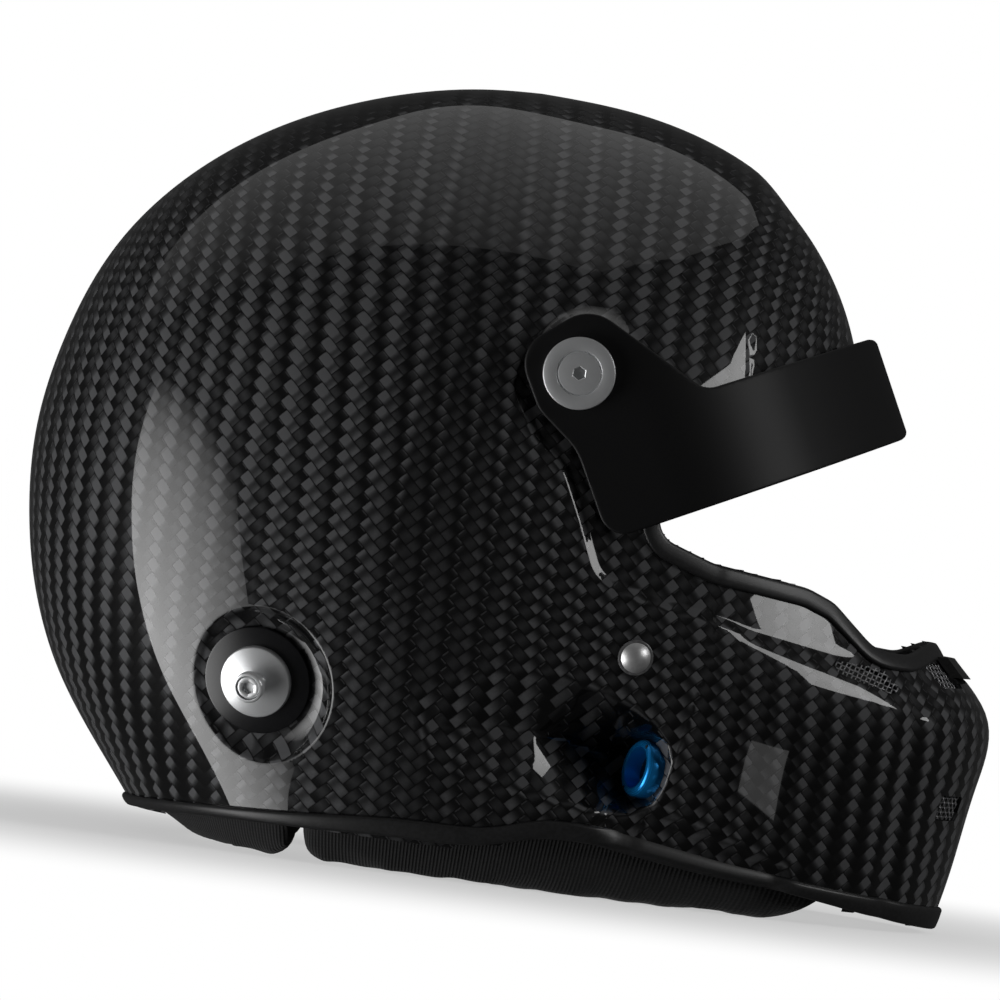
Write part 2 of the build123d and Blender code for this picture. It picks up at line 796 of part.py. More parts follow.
screw_head_seat = head_top - anchor_screw_head_height - edge_break + thread_gap
nut_face = -shell_wall - seat_gap / 3
screw_length = screw_head_seat - nut_face + anchor_nut_length
with BuildPart() as anchor_screw_right:
    add(disc(anchor_plane, anchor_screw_head, screw_head_seat, anchor_screw_head_height))
    with BuildSketch(anchor_plane.offset(screw_head_seat + anchor_screw_head_height)):
        RegularPolygon(screw_socket / 2, side_count=6, major_radius=False)
    extrude(amount=-screw_socket_depth, mode=Mode.SUBTRACT)
    add(disc(anchor_plane, anchor_screw_shank, screw_head_seat - screw_length, screw_length))
nodes["anchor_screw_right"] = anchor_screw_right.part

with BuildPart() as anchor_nut_right:
    add(disc(anchor_plane, anchor_nut_flange, nut_face, -anchor_nut_flange_thickness))
    with BuildSketch(anchor_plane.offset(nut_face)):
        RegularPolygon(anchor_nut_barrel / 2, side_count=6, major_radius=False)
    extrude(amount=-anchor_nut_length)
    add(
        disc(anchor_plane, anchor_screw_shank + thread_gap * 2, nut_face, -overrun),
        mode=Mode.SUBTRACT,
    )
nodes["anchor_nut_right"] = anchor_nut_right.part

# Chin strap anchor: domed rivet with its collar, and the steel tab inside the shell
tab_face = -shell_wall - strap_plate_gap
tail_face = tab_face - strap_plate_thickness - thread_gap
dome_radius = (rivet_dome**2 / 4 + rivet_dome_height**2) / (2 * rivet_dome_height)
with BuildPart() as strap_rivet_right:
    with BuildSketch(Plane(rivet_plane.origin, x_dir=rivet_plane.x_dir, z_dir=-rivet_plane.y_dir)):
        with BuildLine():
            foot = rivet_collar_lift + rivet_collar_thickness
            RadiusArc((0, foot + rivet_dome_height), (rivet_dome / 2, foot), dome_radius)
            Polyline(
                (rivet_dome / 2, foot),
                (rivet_collar / 2, foot),
                (rivet_collar / 2, rivet_collar_lift),
                (rivet_shank / 2, rivet_collar_lift),
                (rivet_shank / 2, tail_face),
                (rivet_tail / 2, tail_face),
                (rivet_tail / 2, tail_face - rivet_tail_thickness),
                (0, tail_face - rivet_tail_thickness),
                (0, foot + rivet_dome_height),
            )
        make_face()
    revolve(axis=Axis(rivet_plane.origin, rivet_plane.z_dir))
nodes["strap_rivet_right"] = strap_rivet_right.part

with BuildPart() as strap_plate_right:
    with BuildSketch(rivet_plane.offset(tab_face - strap_plate_thickness)):
        with Locations((0, (strap_plate_rise - strap_plate_drop) / 2)):
            RectangleRounded(strap_plate_width, strap_plate_rise + strap_plate_drop, strap_plate_corner)
        Circle(rivet_shank / 2 + thread_gap, mode=Mode.SUBTRACT)
    extrude(amount=strap_plate_thickness)
nodes["strap_plate_right"] = strap_plate_right.part

# Strap webbing from the tab through the slit in the pad
web_end = -side_reach(rivet_x, strap_z) + shell_wall + strap_plate_setback
web_start = -strap_half_span - seat_gap * 2
with BuildPart() as strap_web_right:
    with BuildSketch(Plane.XY.offset(strap_z - strap_thickness / 2)):
        with Locations((rivet_x, (web_start + web_end) / 2)):
            Rectangle(strap_width, web_start - web_end)
    extrude(amount=strap_thickness)
nodes["strap_web_right"] = strap_web_right.part


def strap_bend(half_span, bottom, corner):
    """A block with the strap's rounded lower corners, open to cut above the strap."""
    with BuildPart() as block:
        with BuildSketch(Plane.YZ.offset(rivet_x - strap_width / 2)) as face:
            with Locations((0, (strap_z + strap_top + bottom) / 2)):
                Rectangle(half_span * 2, strap_z + strap_top - bottom)
            fillet(face.vertices().sort_by(Axis.Y)[:2], corner)
        extrude(amount=strap_width)
    return block.part


# Fastened chin strap with its folded-back tail, double D-rings and snap
tail_top = strap_bottom + strap_thickness * 2
with BuildPart() as chin_strap:
    add(strap_bend(strap_half_span, strap_bottom, strap_corner))
    add(
        strap_bend(
            strap_half_span - strap_thickness,
            strap_bottom + strap_thickness,
            strap_corner - strap_thickness,
        ),
        mode=Mode.SUBTRACT,
    )
    with BuildSketch(Plane.XY.offset(strap_bottom + strap_thickness)):
        with Locations((rivet_x, 0)):
            SlotOverall(strap_tail_length, strap_width * tail_width_share, rotation=90)
    extrude(amount=strap_thickness)
nodes["chin_strap"] = chin_strap.part

for spot, name in enumerate(("d_ring_inner", "d_ring_outer")):
    ring_centre = (rivet_x, d_ring_y + spot * d_ring_spacing, strap_bottom + strap_thickness)
    lean = radians(d_ring_lean)
    with BuildPart() as d_ring:
        with BuildSketch(Plane(ring_centre, x_dir=(1, 0, 0), z_dir=(0, -sin(lean), cos(lean)))) as face:
            Rectangle(d_ring_length, d_ring_depth)
            fillet(face.vertices().sort_by(Axis.Y)[-2:], d_ring_bow)
            offset(amount=-d_ring_wire, mode=Mode.SUBTRACT)
        extrude(amount=d_ring_wire / 2, both=True)
    nodes[name] = d_ring.part

with BuildPart() as strap_snap:
    with BuildSketch(Plane.XY.offset(tail_top + thread_gap)):
        with Locations((rivet_x, snap_y)):
            Circle(snap_diameter / 2)
    extrude(amount=snap_cap_height)
    chamfer(strap_snap.edges().sort_by(Axis.Z)[-1], edge_break)
nodes["strap_snap"] = strap_snap.part

# Port bushing and its nut
with BuildPart() as port_ring_right:
    add(disc(port_plane, port_ring_diameter, seat_gap / 3, port_ring_length))
    chamfer(
        port_ring_right.edges().filter_by(GeomType.CIRCLE).sort_by(
            Axis(port_plane.origin, port_plane.z_dir)
        )[-1],
        port_ring_edge,
    )
    add(disc(port_plane, port_barrel, seat_gap / 3, -port_barrel_length))
    add(disc(port_plane, port_bore, -overrun / 2, overrun), mode=Mode.SUBTRACT)
    with BuildSketch(port_plane.offset(port_ring_length + seat_gap / 3)):
        with PolarLocations((port_ring_diameter + port_bore) / 4, spanner_holes, start_angle=spanner_angle):
            Circle(spanner_hole / 2)
    extrude(amount=-spanner_hole_depth, mode=Mode.SUBTRACT)
nodes["port_ring_right"] = port_ring_right.part

with BuildPart() as port_nut_right:
    with BuildSketch(port_plane.offset(nut_face)):
        RegularPolygon(port_nut_diameter / 2, side_count=12)
        Circle(port_barrel / 2 + thread_gap, mode=Mode.SUBTRACT)
    extrude(amount=-port_nut_thickness)
nodes["port_nut_right"] = port_nut_right.part


def woven_mesh(grid, window, inside, depth):
    """A thin skin of the form inside a window, pierced by square openings inside its frame."""
    with BuildPart() as openings:
        add(grid)
        add(inside, mode=Mode.INTERSECT, clean=False)
    with BuildPart() as mesh:
        add(window)
        add(right_form(-depth), mode=Mode.INTERSECT, clean=False)
        add([right_form(-depth - mesh_thickness), openings.part], mode=Mode.SUBTRACT, clean=False)
    return mesh.part


# Wire meshes of the vents
vent_centre = placed([side_vent_centre_share])[0]
frame_rim = vent_rim + mesh_wire / 2
with BuildPart() as side_grid:
    with BuildSketch(Plane.XZ):
        with Locations(Location((*vent_centre, 0), (0, 0, side_vent_slope))):
            with GridLocations(mesh_pitch, mesh_pitch, side_vent_columns, side_vent_rows):
                Rectangle(mesh_pitch - mesh_wire, mesh_pitch - mesh_wire)
    extrude(amount=shell_width)
nodes["side_vent_mesh_right"] = woven_mesh(
    side_grid.part,
    side_prism(side_vent_shares, side_vent_corner, -vent_rim),
    side_prism(side_vent_shares, side_vent_corner, -frame_rim),
    mesh_depth,
)

for share, depth, name in (
    (front_vent_upper_share, recessed_mesh_depth, "chin_mesh_upper_right"),
    (front_vent_lower_share, mesh_depth, "chin_mesh_lower_right"),
):
    with BuildPart() as front_grid:
        with BuildSketch(Plane.YZ):
            with Locations((-front_vent_y, share * shell_height)):
                with GridLocations(mesh_pitch, mesh_pitch, front_vent_columns, front_vent_rows):
                    Rectangle(mesh_pitch - mesh_wire, mesh_pitch - mesh_wire)
        extrude(amount=shell_length)
    with BuildPart() as chin_mesh:
        add(woven_mesh(front_grid.part, front_vent(share, vent_rim), front_vent(share, frame_rim), depth))
        add(
            side_prism(eyeport_shares, eyeport_corners, trim_reach + seat_gap),
            mode=Mode.SUBTRACT,
            clean=False,
        )
    nodes[name] = chin_mesh.part

# Moulded cover over the top middle of the chin
with BuildPart() as vent_cover_block:
    with BuildSketch(Plane.XZ):
        with BuildLine():
            Polyline(*placed(vent_cover_shares), close=True)
        make_face()
    extrude(amount=vent_cover_half_width)

with BuildPart() as chin_vent_cover:
    add(vent_cover_block.part)
    add(right_form(vent_cover_proud), mode=Mode.INTERSECT, clean=False)
    add(right_form(seat_gap - recess_depth), mode=Mode.SUBTRACT, clean=False)
    mirror(about=Plane.XZ)
nodes["chin_vent_cover"] = chin_vent_cover.part

# Left hand pieces are mirror images
for name in [name for name in nodes if name.endswith("_right")]:
    with BuildPart() as left:
        mirror(nodes[name], about=Plane.XZ)
    nodes[name.replace("_right", "_left")] = left.part

os.makedirs("parts", exist_ok=True)
for name, piece in nodes.items():
    piece.label = name
    export_step(piece, f"parts/{name}.step")
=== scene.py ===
import math

import bmesh
import bpy
import numpy as np
from mathutils import Matrix, Vector


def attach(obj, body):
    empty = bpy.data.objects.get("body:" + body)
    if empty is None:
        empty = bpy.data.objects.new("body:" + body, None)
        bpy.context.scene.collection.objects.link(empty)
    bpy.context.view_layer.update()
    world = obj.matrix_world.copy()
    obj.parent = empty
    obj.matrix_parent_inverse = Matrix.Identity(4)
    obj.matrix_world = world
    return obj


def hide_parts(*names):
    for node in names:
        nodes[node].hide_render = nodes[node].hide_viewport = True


# Auto racing helmet. Numbers in this script are millimetres until a mesh is made from them.
# X points forward, Y to the wearer's left, Z up. The right half is made and then mirrored.

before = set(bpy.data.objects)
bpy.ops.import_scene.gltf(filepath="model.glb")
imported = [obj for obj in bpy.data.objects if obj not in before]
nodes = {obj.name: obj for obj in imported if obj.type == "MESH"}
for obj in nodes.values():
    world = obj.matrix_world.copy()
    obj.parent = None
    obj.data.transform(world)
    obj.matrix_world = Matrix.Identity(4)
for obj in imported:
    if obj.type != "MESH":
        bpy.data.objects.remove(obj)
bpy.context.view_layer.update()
MM = 0.001

# Shell form: height, rear, front and half width shares of its rings, below the base to the crown
LENGTH, WIDTH, HEIGHT, WALL = 354.0, 252.0, 280.4, 2.6
POWER, SPOTS = 2.08, 12
MIDDLE = -0.085 * LENGTH
CROWN_X = -0.034 * LENGTH
RINGS = (
    (-0.250, -0.230, 0.425, 0.340),
    (-0.140, -0.268, 0.443, 0.370),
    (-0.035, -0.317, 0.460, 0.401),
    (0.070, -0.379, 0.479, 0.435),
    (0.190, -0.447, 0.495, 0.468),
    (0.285, -0.479, 0.495, 0.487),
    (0.360, -0.493, 0.442, 0.497),
    (0.480, -0.500, 0.395, 0.499),
    (0.610, -0.483, 0.350, 0.476),
    (0.740, -0.441, 0.319, 0.419),
    (0.855, -0.362, 0.268, 0.330),
    (0.940, -0.253, 0.188, 0.221),
    (0.988, -0.130, 0.075, 0.109),
)

# Side outlines as shares of length and height, with corner radii
EYEPORT = (
    (0.140, 0.457), (0.128, 0.556), (0.169, 0.612), (0.319, 0.708), (0.565, 0.718),
    (0.565, 0.370), (0.429, 0.370), (0.404, 0.351), (0.370, 0.353), (0.323, 0.404),
    (0.294, 0.418), (0.198, 0.432),
)
EYEPORT_CORNERS = (9.0, 11.0, 14.0, 20.0, 0.0, 0.0, 6.0, 8.0, 14.0, 14.0, 20.0, 30.0)
RECESS = (
    (0.000, 0.700), (-0.017, 0.657), (-0.026, 0.618), (0.003, 0.555), (0.034, 0.523),
    (0.056, 0.464), (0.080, 0.392), (0.127, 0.374), (0.249, 0.348), (0.350, 0.337),
    (0.424, 0.325), (0.600, 0.325), (0.600, 0.750), (0.322, 0.733), (0.169, 0.637),
    (0.056, 0.679),
)
RECESS_CORNERS = (
    4.0, 12.0, 9.0, 14.0, 14.0, 20.0, 14.0, 14.0, 40.0, 30.0, 20.0, 0.0, 0.0, 10.0, 10.0, 10.0,
)
BASE = (
    (-0.600, 0.025), (-0.345, 0.030), (-0.277, 0.036), (-0.175, 0.039), (-0.076, 0.043),
    (0.011, 0.049), (0.051, 0.062), (0.096, 0.066), (0.161, 0.057), (0.240, 0.043),
    (0.322, 0.031), (0.395, 0.016), (0.486, 0.000), (0.600, -0.019),
)
BASE_LIP = (
    (-0.600, 0.045), (-0.359, 0.046), (-0.297, 0.050), (-0.178, 0.059), (-0.059, 0.069),
    (0.020, 0.075), (0.056, 0.088), (0.093, 0.091), (0.158, 0.082), (0.218, 0.068),
    (0.299, 0.053), (0.379, 0.043), (0.475, 0.032), (0.600, 0.018),
)
SIDE_VENT = ((0.328, 0.334), (0.380, 0.330), (0.403, 0.303), (0.388, 0.299), (0.333, 0.317))
POCKET = (
    (-0.1588, 0.158), (-0.114, 0.209), (-0.058, 0.244), (-0.001, 0.266), (0.043, 0.271),
    (0.075, 0.266), (0.105, 0.256), (0.134, 0.241), (0.157, 0.223), (0.172, 0.202),
    (0.178, 0.179), (0.175, 0.150), (0.165, 0.124), (0.146, 0.106), (0.123, 0.102),
    (0.091, 0.108), (0.064, 0.112), (0.010, 0.120), (-0.032, 0.128), (-0.097, 0.143),
    (-0.138, 0.153),
)
PEAK = (
    (0.088, 0.443), (0.382, 0.625), (0.335, 0.746), (0.164, 0.645), (0.040, 0.729),
    (-0.026, 0.664), (0.003, 0.593), (0.045, 0.550),
)
PEAK_CORNERS = (9.0, 4.0, 4.0, 8.0, 14.0, 12.0, 12.0, 20.0)

# Places on the right side, all in millimetres
SIDE_MIDDLE = -30.0
PIVOT = np.array((0.038 * LENGTH, -120.0, 0.644 * HEIGHT))
ANCHOR = np.array((-84.606, -109.279, 59.164))
ANCHOR_OUT = np.array((-0.25540, -0.92721, -0.27396))
RIVET = np.array((0.129 * LENGTH, 0.0, 0.304 * HEIGHT))
PORT = np.array((0.160 * LENGTH, -0.367 * WIDTH, 0.164 * HEIGHT))
PORT_OUT = np.array((-0.87838, -0.45725, 0.13917))


def soft_min(a, b, k):
    """Lower of two values, rounded over a width of k where they cross."""
    h = np.maximum(k - np.abs(a - b), 0.0) / k
    return np.minimum(a, b) - h * h * k / 4


def soft_max(a, b, k):
    return -soft_min(-a, -b, k)


def ease(x):
    x = np.clip(x, 0.0, 1.0)
    return x * x * (3 - 2 * x)


def unit_rows(v):
    """Vectors made one long."""
    return v / np.linalg.norm(v, axis=-1, keepdims=True)


def chord_lengths(points):
    """Length along a line of points up to each of them."""
    return np.concatenate([[0.0], np.cumsum(np.linalg.norm(np.diff(points, axis=0), axis=1))])


def only_used(faces):
    """The places that faces use, their new numbers, and the faces in those numbers."""
    used = sorted({k for f in faces for k in f})
    renumber = {k: i for i, k in enumerate(used)}
    return used, renumber, [[renumber[k] for k in f] for f in faces]


def band_faces(rows, count, closed=False):
    """Faces between rows of points that each go round a section."""
    faces = []
    for k in range(rows if closed else rows - 1):
        j = (k + 1) % rows
        for i in range(count):
            h = (i + 1) % count
            faces.append((k * count + i, k * count + h, j * count + h, j * count + i))
    return faces


def closed_spline(points, shares):
    """Cubic spline round a closed ring of points, read at shares of its chord length."""
    count = len(points)
    gaps = np.linalg.norm(np.roll(points, -1, 0) - points, axis=1)
    knots = np.concatenate([[0.0], np.cumsum(gaps)])
    system = np.zeros((count, count))
    right = np.zeros_like(points)
    for i in range(count):
        before, after, following = gaps[i - 1], gaps[i], (i + 1) % count
        system[i, i - 1] += before / 6
        system[i, i] += (before + after) / 3
        system[i, following] += after / 6
        right[i] = (points[following] - points[i]) / after - (points[i] - points[i - 1]) / before
    bend = np.linalg.solve(system, right)
    at = np.asarray(shares) * knots[-1]
    low = np.clip(np.searchsorted(knots, at, side="right") - 1, 0, count - 1)
    high = (low + 1) % count
    gap = gaps[low][:, None]
    b = (at - knots[low])[:, None] / gap
    a = 1 - b
    curve = ((a**3 - a) * bend[low] + (b**3 - b) * bend[high]) * gap**2 / 6
    return a * points[low] + b * points[high] + curve


def open_spline(knots, rows, at):
    """Natural cubic spline through rows of values at knots, read at other places."""
    count = len(knots)
    gaps = np.diff(knots)
    system = np.eye(count)
    right = np.zeros((count,) + rows.shape[1:])
    for i in range(1, count - 1):
        system[i, i - 1 : i + 2] = gaps[i - 1] / 6, (gaps[i - 1] + gaps[i]) / 3, gaps[i] / 6
        right[i] = (rows[i + 1] - rows[i]) / gaps[i] - (rows[i] - rows[i - 1]) / gaps[i - 1]
    bend = np.linalg.solve(system, right.reshape(count, -1)).reshape(right.shape)
    low = np.clip(np.searchsorted(knots, at, side="right") - 1, 0, count - 2)
    shape = (-1,) + (1,) * (rows.ndim - 1)
    gap = gaps[low].reshape(shape)
    b = (at - knots[low]).reshape(shape) / gap
    a = 1 - b
    curve = ((a**3 - a) * bend[low] + (b**3 - b) * bend[low + 1]) * gap**2 / 6
    return a * rows[low] + b * rows[low + 1] + curve


# Fine table of the right half of the form: u runs from the rear round to the front, t up to the crown
ACROSS, UP = 721, 1001
LOWEST = -16.0


def form_table():
    shares = np.linspace(0, 0.5, ACROSS)
    rings = []
    for height, rear, front, half in RINGS:
        angles = np.radians(180 + 360 * np.arange(SPOTS) / SPOTS)
        along = np.abs(np.cos(angles)) ** (2 / POWER)
        side = np.abs(np.sin(angles)) ** (2 / POWER) * half * WIDTH
        forward = np.cos(angles) > 0
        reach = np.where(forward, front * LENGTH - MIDDLE, rear * LENGTH - MIDDLE)
        x = MIDDLE + along * reach
        y = np.where(np.sin(angles) > 0, side, -side)
        ring = closed_spline(np.stack([x, y], 1), shares)
        rings.append(np.concatenate([ring, np.full((ACROSS, 1), height * HEIGHT)], 1))
    rings.append(np.tile((CROWN_X, 0.0, HEIGHT), (ACROSS, 1)))
    rings = np.array(rings)
    steps = np.linalg.norm(np.diff(rings, axis=0), axis=2).mean(1)
    knots = np.concatenate([[0.0], np.cumsum(steps)])
    fine = np.linspace(0, knots[-1], 4001)
    heights = open_spline(knots, rings[:, 0, 2], fine)
    start = np.interp(LOWEST, heights, fine)
    return open_spline(knots, rings, np.linspace(start, knots[-1], UP))


TABLE = form_table()
TABLE[:, 0, 1] = 0.0
TABLE[:, -1, 1] = 0.0
ROW_Z = TABLE[:, 0, 2].copy()


def table_normals():
    du = np.gradient(TABLE, axis=1)
    dt = np.gradient(TABLE, axis=0)
    out = np.cross(du, dt)
    size = np.linalg.norm(out, axis=2, keepdims=True)
    out = out / np.maximum(size, 1e-9)
    out[-1] = (0, 0, 1)
    out[:, 0, 1] = 0
    out[:, -1, 1] = 0
    return unit_rows(out)


TABLE_OUT = table_normals()


# Height from which the cloth lies flat over the crown, and how far its rows keep the side's rise
CROWN_FROM, CROWN_OVER = 205.0, 60.0
SIDE_RISE_SHARE = 0.45


def weave_table():
    """Cloth coordinates: along the ring from the side's middle line, and up from the base."""
    steps = np.linalg.norm(np.diff(TABLE, axis=1), axis=2)
    along = np.concatenate([np.zeros((UP, 1)), np.cumsum(steps, 1)], 1)
    zero = np.array([np.interp(SIDE_MIDDLE, row[:, 0], total) for row, total in zip(TABLE, along)])
    along = along - zero[:, None]
    flat = TABLE[:, :, 0] - SIDE_MIDDLE
    share = ease((TABLE[:, :, 2] - CROWN_FROM) / CROWN_OVER)
    rise = np.linalg.norm(np.diff(TABLE, axis=0), axis=2)
    up = np.concatenate([np.zeros((1, ACROSS)), np.cumsum(rise, 0)], 0)
    side = np.argmin(np.abs(TABLE[0, :, 0] - SIDE_MIDDLE))
    level = up * (1 - SIDE_RISE_SHARE) + up[:, side : side + 1] * SIDE_RISE_SHARE
    return np.stack([along * (1 - share) + flat * share, level], 2)


WEAVE = weave_table()


def look_up(table, u, t):
    """Reads a table between its places; u runs 0 to 1 from rear to front, t 0 to 1 upwards."""
    a = np.clip(u, 0, 1) * (ACROSS - 1)
    b = np.clip(t, 0, 1) * (UP - 1)
    i = np.minimum(a.astype(int), ACROSS - 2)
    j = np.minimum(b.astype(int), UP - 2)
    a = (a - i)[:, None]
    b = (b - j)[:, None]
    low = table[j, i] * (1 - a) + table[j, i + 1] * a
    high = table[j + 1, i] * (1 - a) + table[j + 1, i + 1] * a
    return low * (1 - b) + high * b


def side_place(x, z):
    """The u and t of points given by their side view."""
    x, z = np.atleast_1d(x).astype(float), np.atleast_1d(z).astype(float)
    row = np.interp(z, ROW_Z, np.arange(UP))
    low = np.minimum(row.astype(int), UP - 2)
    part = row - low
    u = np.empty(len(x))
    for k in range(len(x)):
        ring = TABLE[low[k], :, 0] * (1 - part[k]) + TABLE[low[k] + 1, :, 0] * part[k]
        u[k] = np.interp(x[k], ring, np.linspace(0, 1, ACROSS))
    return u, row / (UP - 1)


def rounded_outline(shares, corners, arc_step=0.15):
    """Closed side outline in millimetres with its corners rounded."""
    points = np.array([(x * LENGTH, z * HEIGHT) for x, z in shares])
    count = len(points)
    if np.isscalar(corners):
        corners = [corners] * count
    outline = []
    for i in range(count):
        corner, radius = points[i], corners[i]
        back = points[i - 1] - corner
        ahead = points[(i + 1) % count] - corner
        back, ahead = back / np.linalg.norm(back), ahead / np.linalg.norm(ahead)
        angle = math.acos(np.clip(np.dot(back, ahead), -1, 1))
        if radius <= 0 or angle > 3.13:
            outline.append(corner)
            continue
        reach = radius / math.tan(angle / 2)
        mid = (back + ahead) / np.linalg.norm(back + ahead)
        centre = corner + mid * radius / math.sin(angle / 2)
        first, last = corner + back * reach - centre, corner + ahead * reach - centre
        turn = math.pi - angle
        steps = max(3, int(turn / arc_step))
        for s in np.linspace(0, 1, steps + 1):
            spot = first * math.sin((1 - s) * turn) + last * math.sin(s * turn)
            outline.append(centre + spot / math.sin(turn))
    return np.array(outline)


def smooth_line(shares, step=0.5):
    """Open side line in millimetres through points given as shares."""
    points = np.array([(x * LENGTH, z * HEIGHT) for x, z in shares])
    knots = chord_lengths(points)
    return open_spline(knots, points, np.arange(0, knots[-1], step))


def outline_distance(outline, x, z):
    """Distance to a closed outline, negative inside it."""
    starts, ends = outline, np.roll(outline, -1, 0)
    best = np.full(len(x), 1e9)
    inside = np.zeros(len(x), bool)
    for (ax, az), (bx, bz) in zip(starts, ends):
        dx, dz = bx - ax, bz - az
        size = dx * dx + dz * dz
        if size < 1e-12:
            continue
        part = np.clip(((x - ax) * dx + (z - az) * dz) / size, 0, 1)
        best = np.minimum(best, (x - ax - part * dx) ** 2 + (z - az - part * dz) ** 2)
        if az != bz:
            crossing = (az > z) != (bz > z)
            inside ^= crossing & (x < ax + (z - az) * dx / dz)
    best = np.sqrt(best)
    return np.where(inside, -best, best)


class Region:
    """A side outline with its distance kept on a fine grid."""

    step = 0.5

    def __init__(self, shares, corners):
        self.outline = rounded_outline(shares, corners)
        self.low = np.array((-190.0, -30.0))
        self.count = (int(400 / self.step), int(330 / self.step))
        x = self.low[0] + np.arange(self.count[0]) * self.step
        z = self.low[1] + np.arange(self.count[1]) * self.step
        gx, gz = np.meshgrid(x, z, indexing="ij")
        self.grid = outline_distance(self.outline, gx.ravel(), gz.ravel()).reshape(self.count)

    def distance(self, x, z):
        a = np.clip((x - self.low[0]) / self.step, 0, self.count[0] - 1.001)
        b = np.clip((z - self.low[1]) / self.step, 0, self.count[1] - 1.001)
        i, j = a.astype(int), b.astype(int)
        a, b = a - i, b - j
        low = self.grid[i, j] * (1 - a) + self.grid[i + 1, j] * a
        high = self.grid[i, j + 1] * (1 - a) + self.grid[i + 1, j + 1] * a
        return low * (1 - b) + high * b


recess = Region(RECESS, RECESS_CORNERS)
eyeport = Region(EYEPORT, EYEPORT_CORNERS)
side_vent = Region(SIDE_VENT, 1.5)
base_line = smooth_line(BASE)
base_lip = smooth_line(BASE_LIP)
pocket = Region(POCKET, 3.0)

# Depths, slopes and widths of what is pressed into the shell
RECESS_DEPTH, RECESS_SLOPE, RECESS_EASE = 2.0, 0.62, 0.5
RECESS_FADE_FROM, RECESS_FADE_OVER = 184.0, 12.0
MIDDLE_CLEAR, MIDDLE_EASE = 2.0, 6.0
SHOULDER = np.array(((62.0, 104.0), (82.0, 95.5), (112.0, 88.6), (143.0, 80.3), (176.0, 71.5)))
SHOULDER_SLOPE, SHOULDER_DEPTH, SHOULDER_EASE, SHOULDER_BEND = 0.32, 2.6, 1.0, 3.0
SHOULDER_REAR, SHOULDER_REAR_OVER, SHOULDER_FRONT, SHOULDER_FRONT_OVER = 66.0, 22.0, 150.0, 14.0
GROOVE_TOP, GROOVE_FOOT = np.array((149.0, 81.0)), np.array((144.0, -17.0))
GROOVE_DEPTH, GROOVE_HALF = 1.1, 6.5
SCOOP_REAR, SCOOP_FRONT = np.array((50.0, 26.0)), np.array((104.0, 13.5))
SCOOP_HALF, SCOOP_TAPER, SCOOP_SLOPE, SCOOP_DEPTH, SCOOP_EASE = 11.0, 4.0, 0.7, 2.8, 1.2
BOSS_FACE, BOSS_HALF, BOSS_SLOPE, BOSS_EASE, BOSS_REACH = 118.75, 14.0, 1.73, 1.2, 40.0
DISH_DEPTH, DISH_FLOOR, DISH_RIM, DISH_EASE = 4.6, 20.5, 28.6, 1.0
DISH_REACH, DISH_INWARD = 45.0, 40.0
# Port pocket: its bed's depth beside the port's axis, and how steep its wall is along X
BED_DEPTH, BED_EASE, WALL_EASE, POCKET_EASE, POCKET_EDGE = 15.0, 4.0, 2.2, 1.6, 1.4
WALL_PLACES, WALL_SLOPES = (-58.0, -20.0, 15.0, 42.0, 56.0), (0.10, 0.22, 0.50, 1.5, 3.2)


def capsule_share(x, z, first, last):
    """Share along a line, and the distance from it."""
    line = last - first
    part = np.clip(((x - first[0]) * line[0] + (z - first[1]) * line[1]) / line.dot(line), 0, 1)
    return part, np.hypot(x - first[0] - part * line[0], z - first[1] - part * line[1])


def port_axes():
    level = np.array((-PORT_OUT[1], PORT_OUT[0], 0.0))
    level = unit_rows(level)
    return level, np.cross(PORT_OUT, level)


PORT_LEVEL, PORT_UP = port_axes()


def port_floor(x, w, z):
    """How far out the port's pocket leaves the shell at a side view place."""
    out, home = -PORT[1], PORT
    seat = out + (-PORT_OUT[0] * (x - home[0]) - PORT_OUT[2] * (z - home[2])) / -PORT_OUT[1]
    inner = out + (-BED_DEPTH - PORT_LEVEL[0] * (x - home[0])) / -PORT_LEVEL[1]
    bed = soft_max(seat, inner, BED_EASE)
    # The walls fall steeply round the ring and lie down towards the rear
    steep = np.interp(x, WALL_PLACES, WALL_SLOPES)
    walls = w - soft_max(-pocket.distance(x, z), 0.0, POCKET_EASE) * steep
    return soft_max(bed, walls, WALL_EASE)


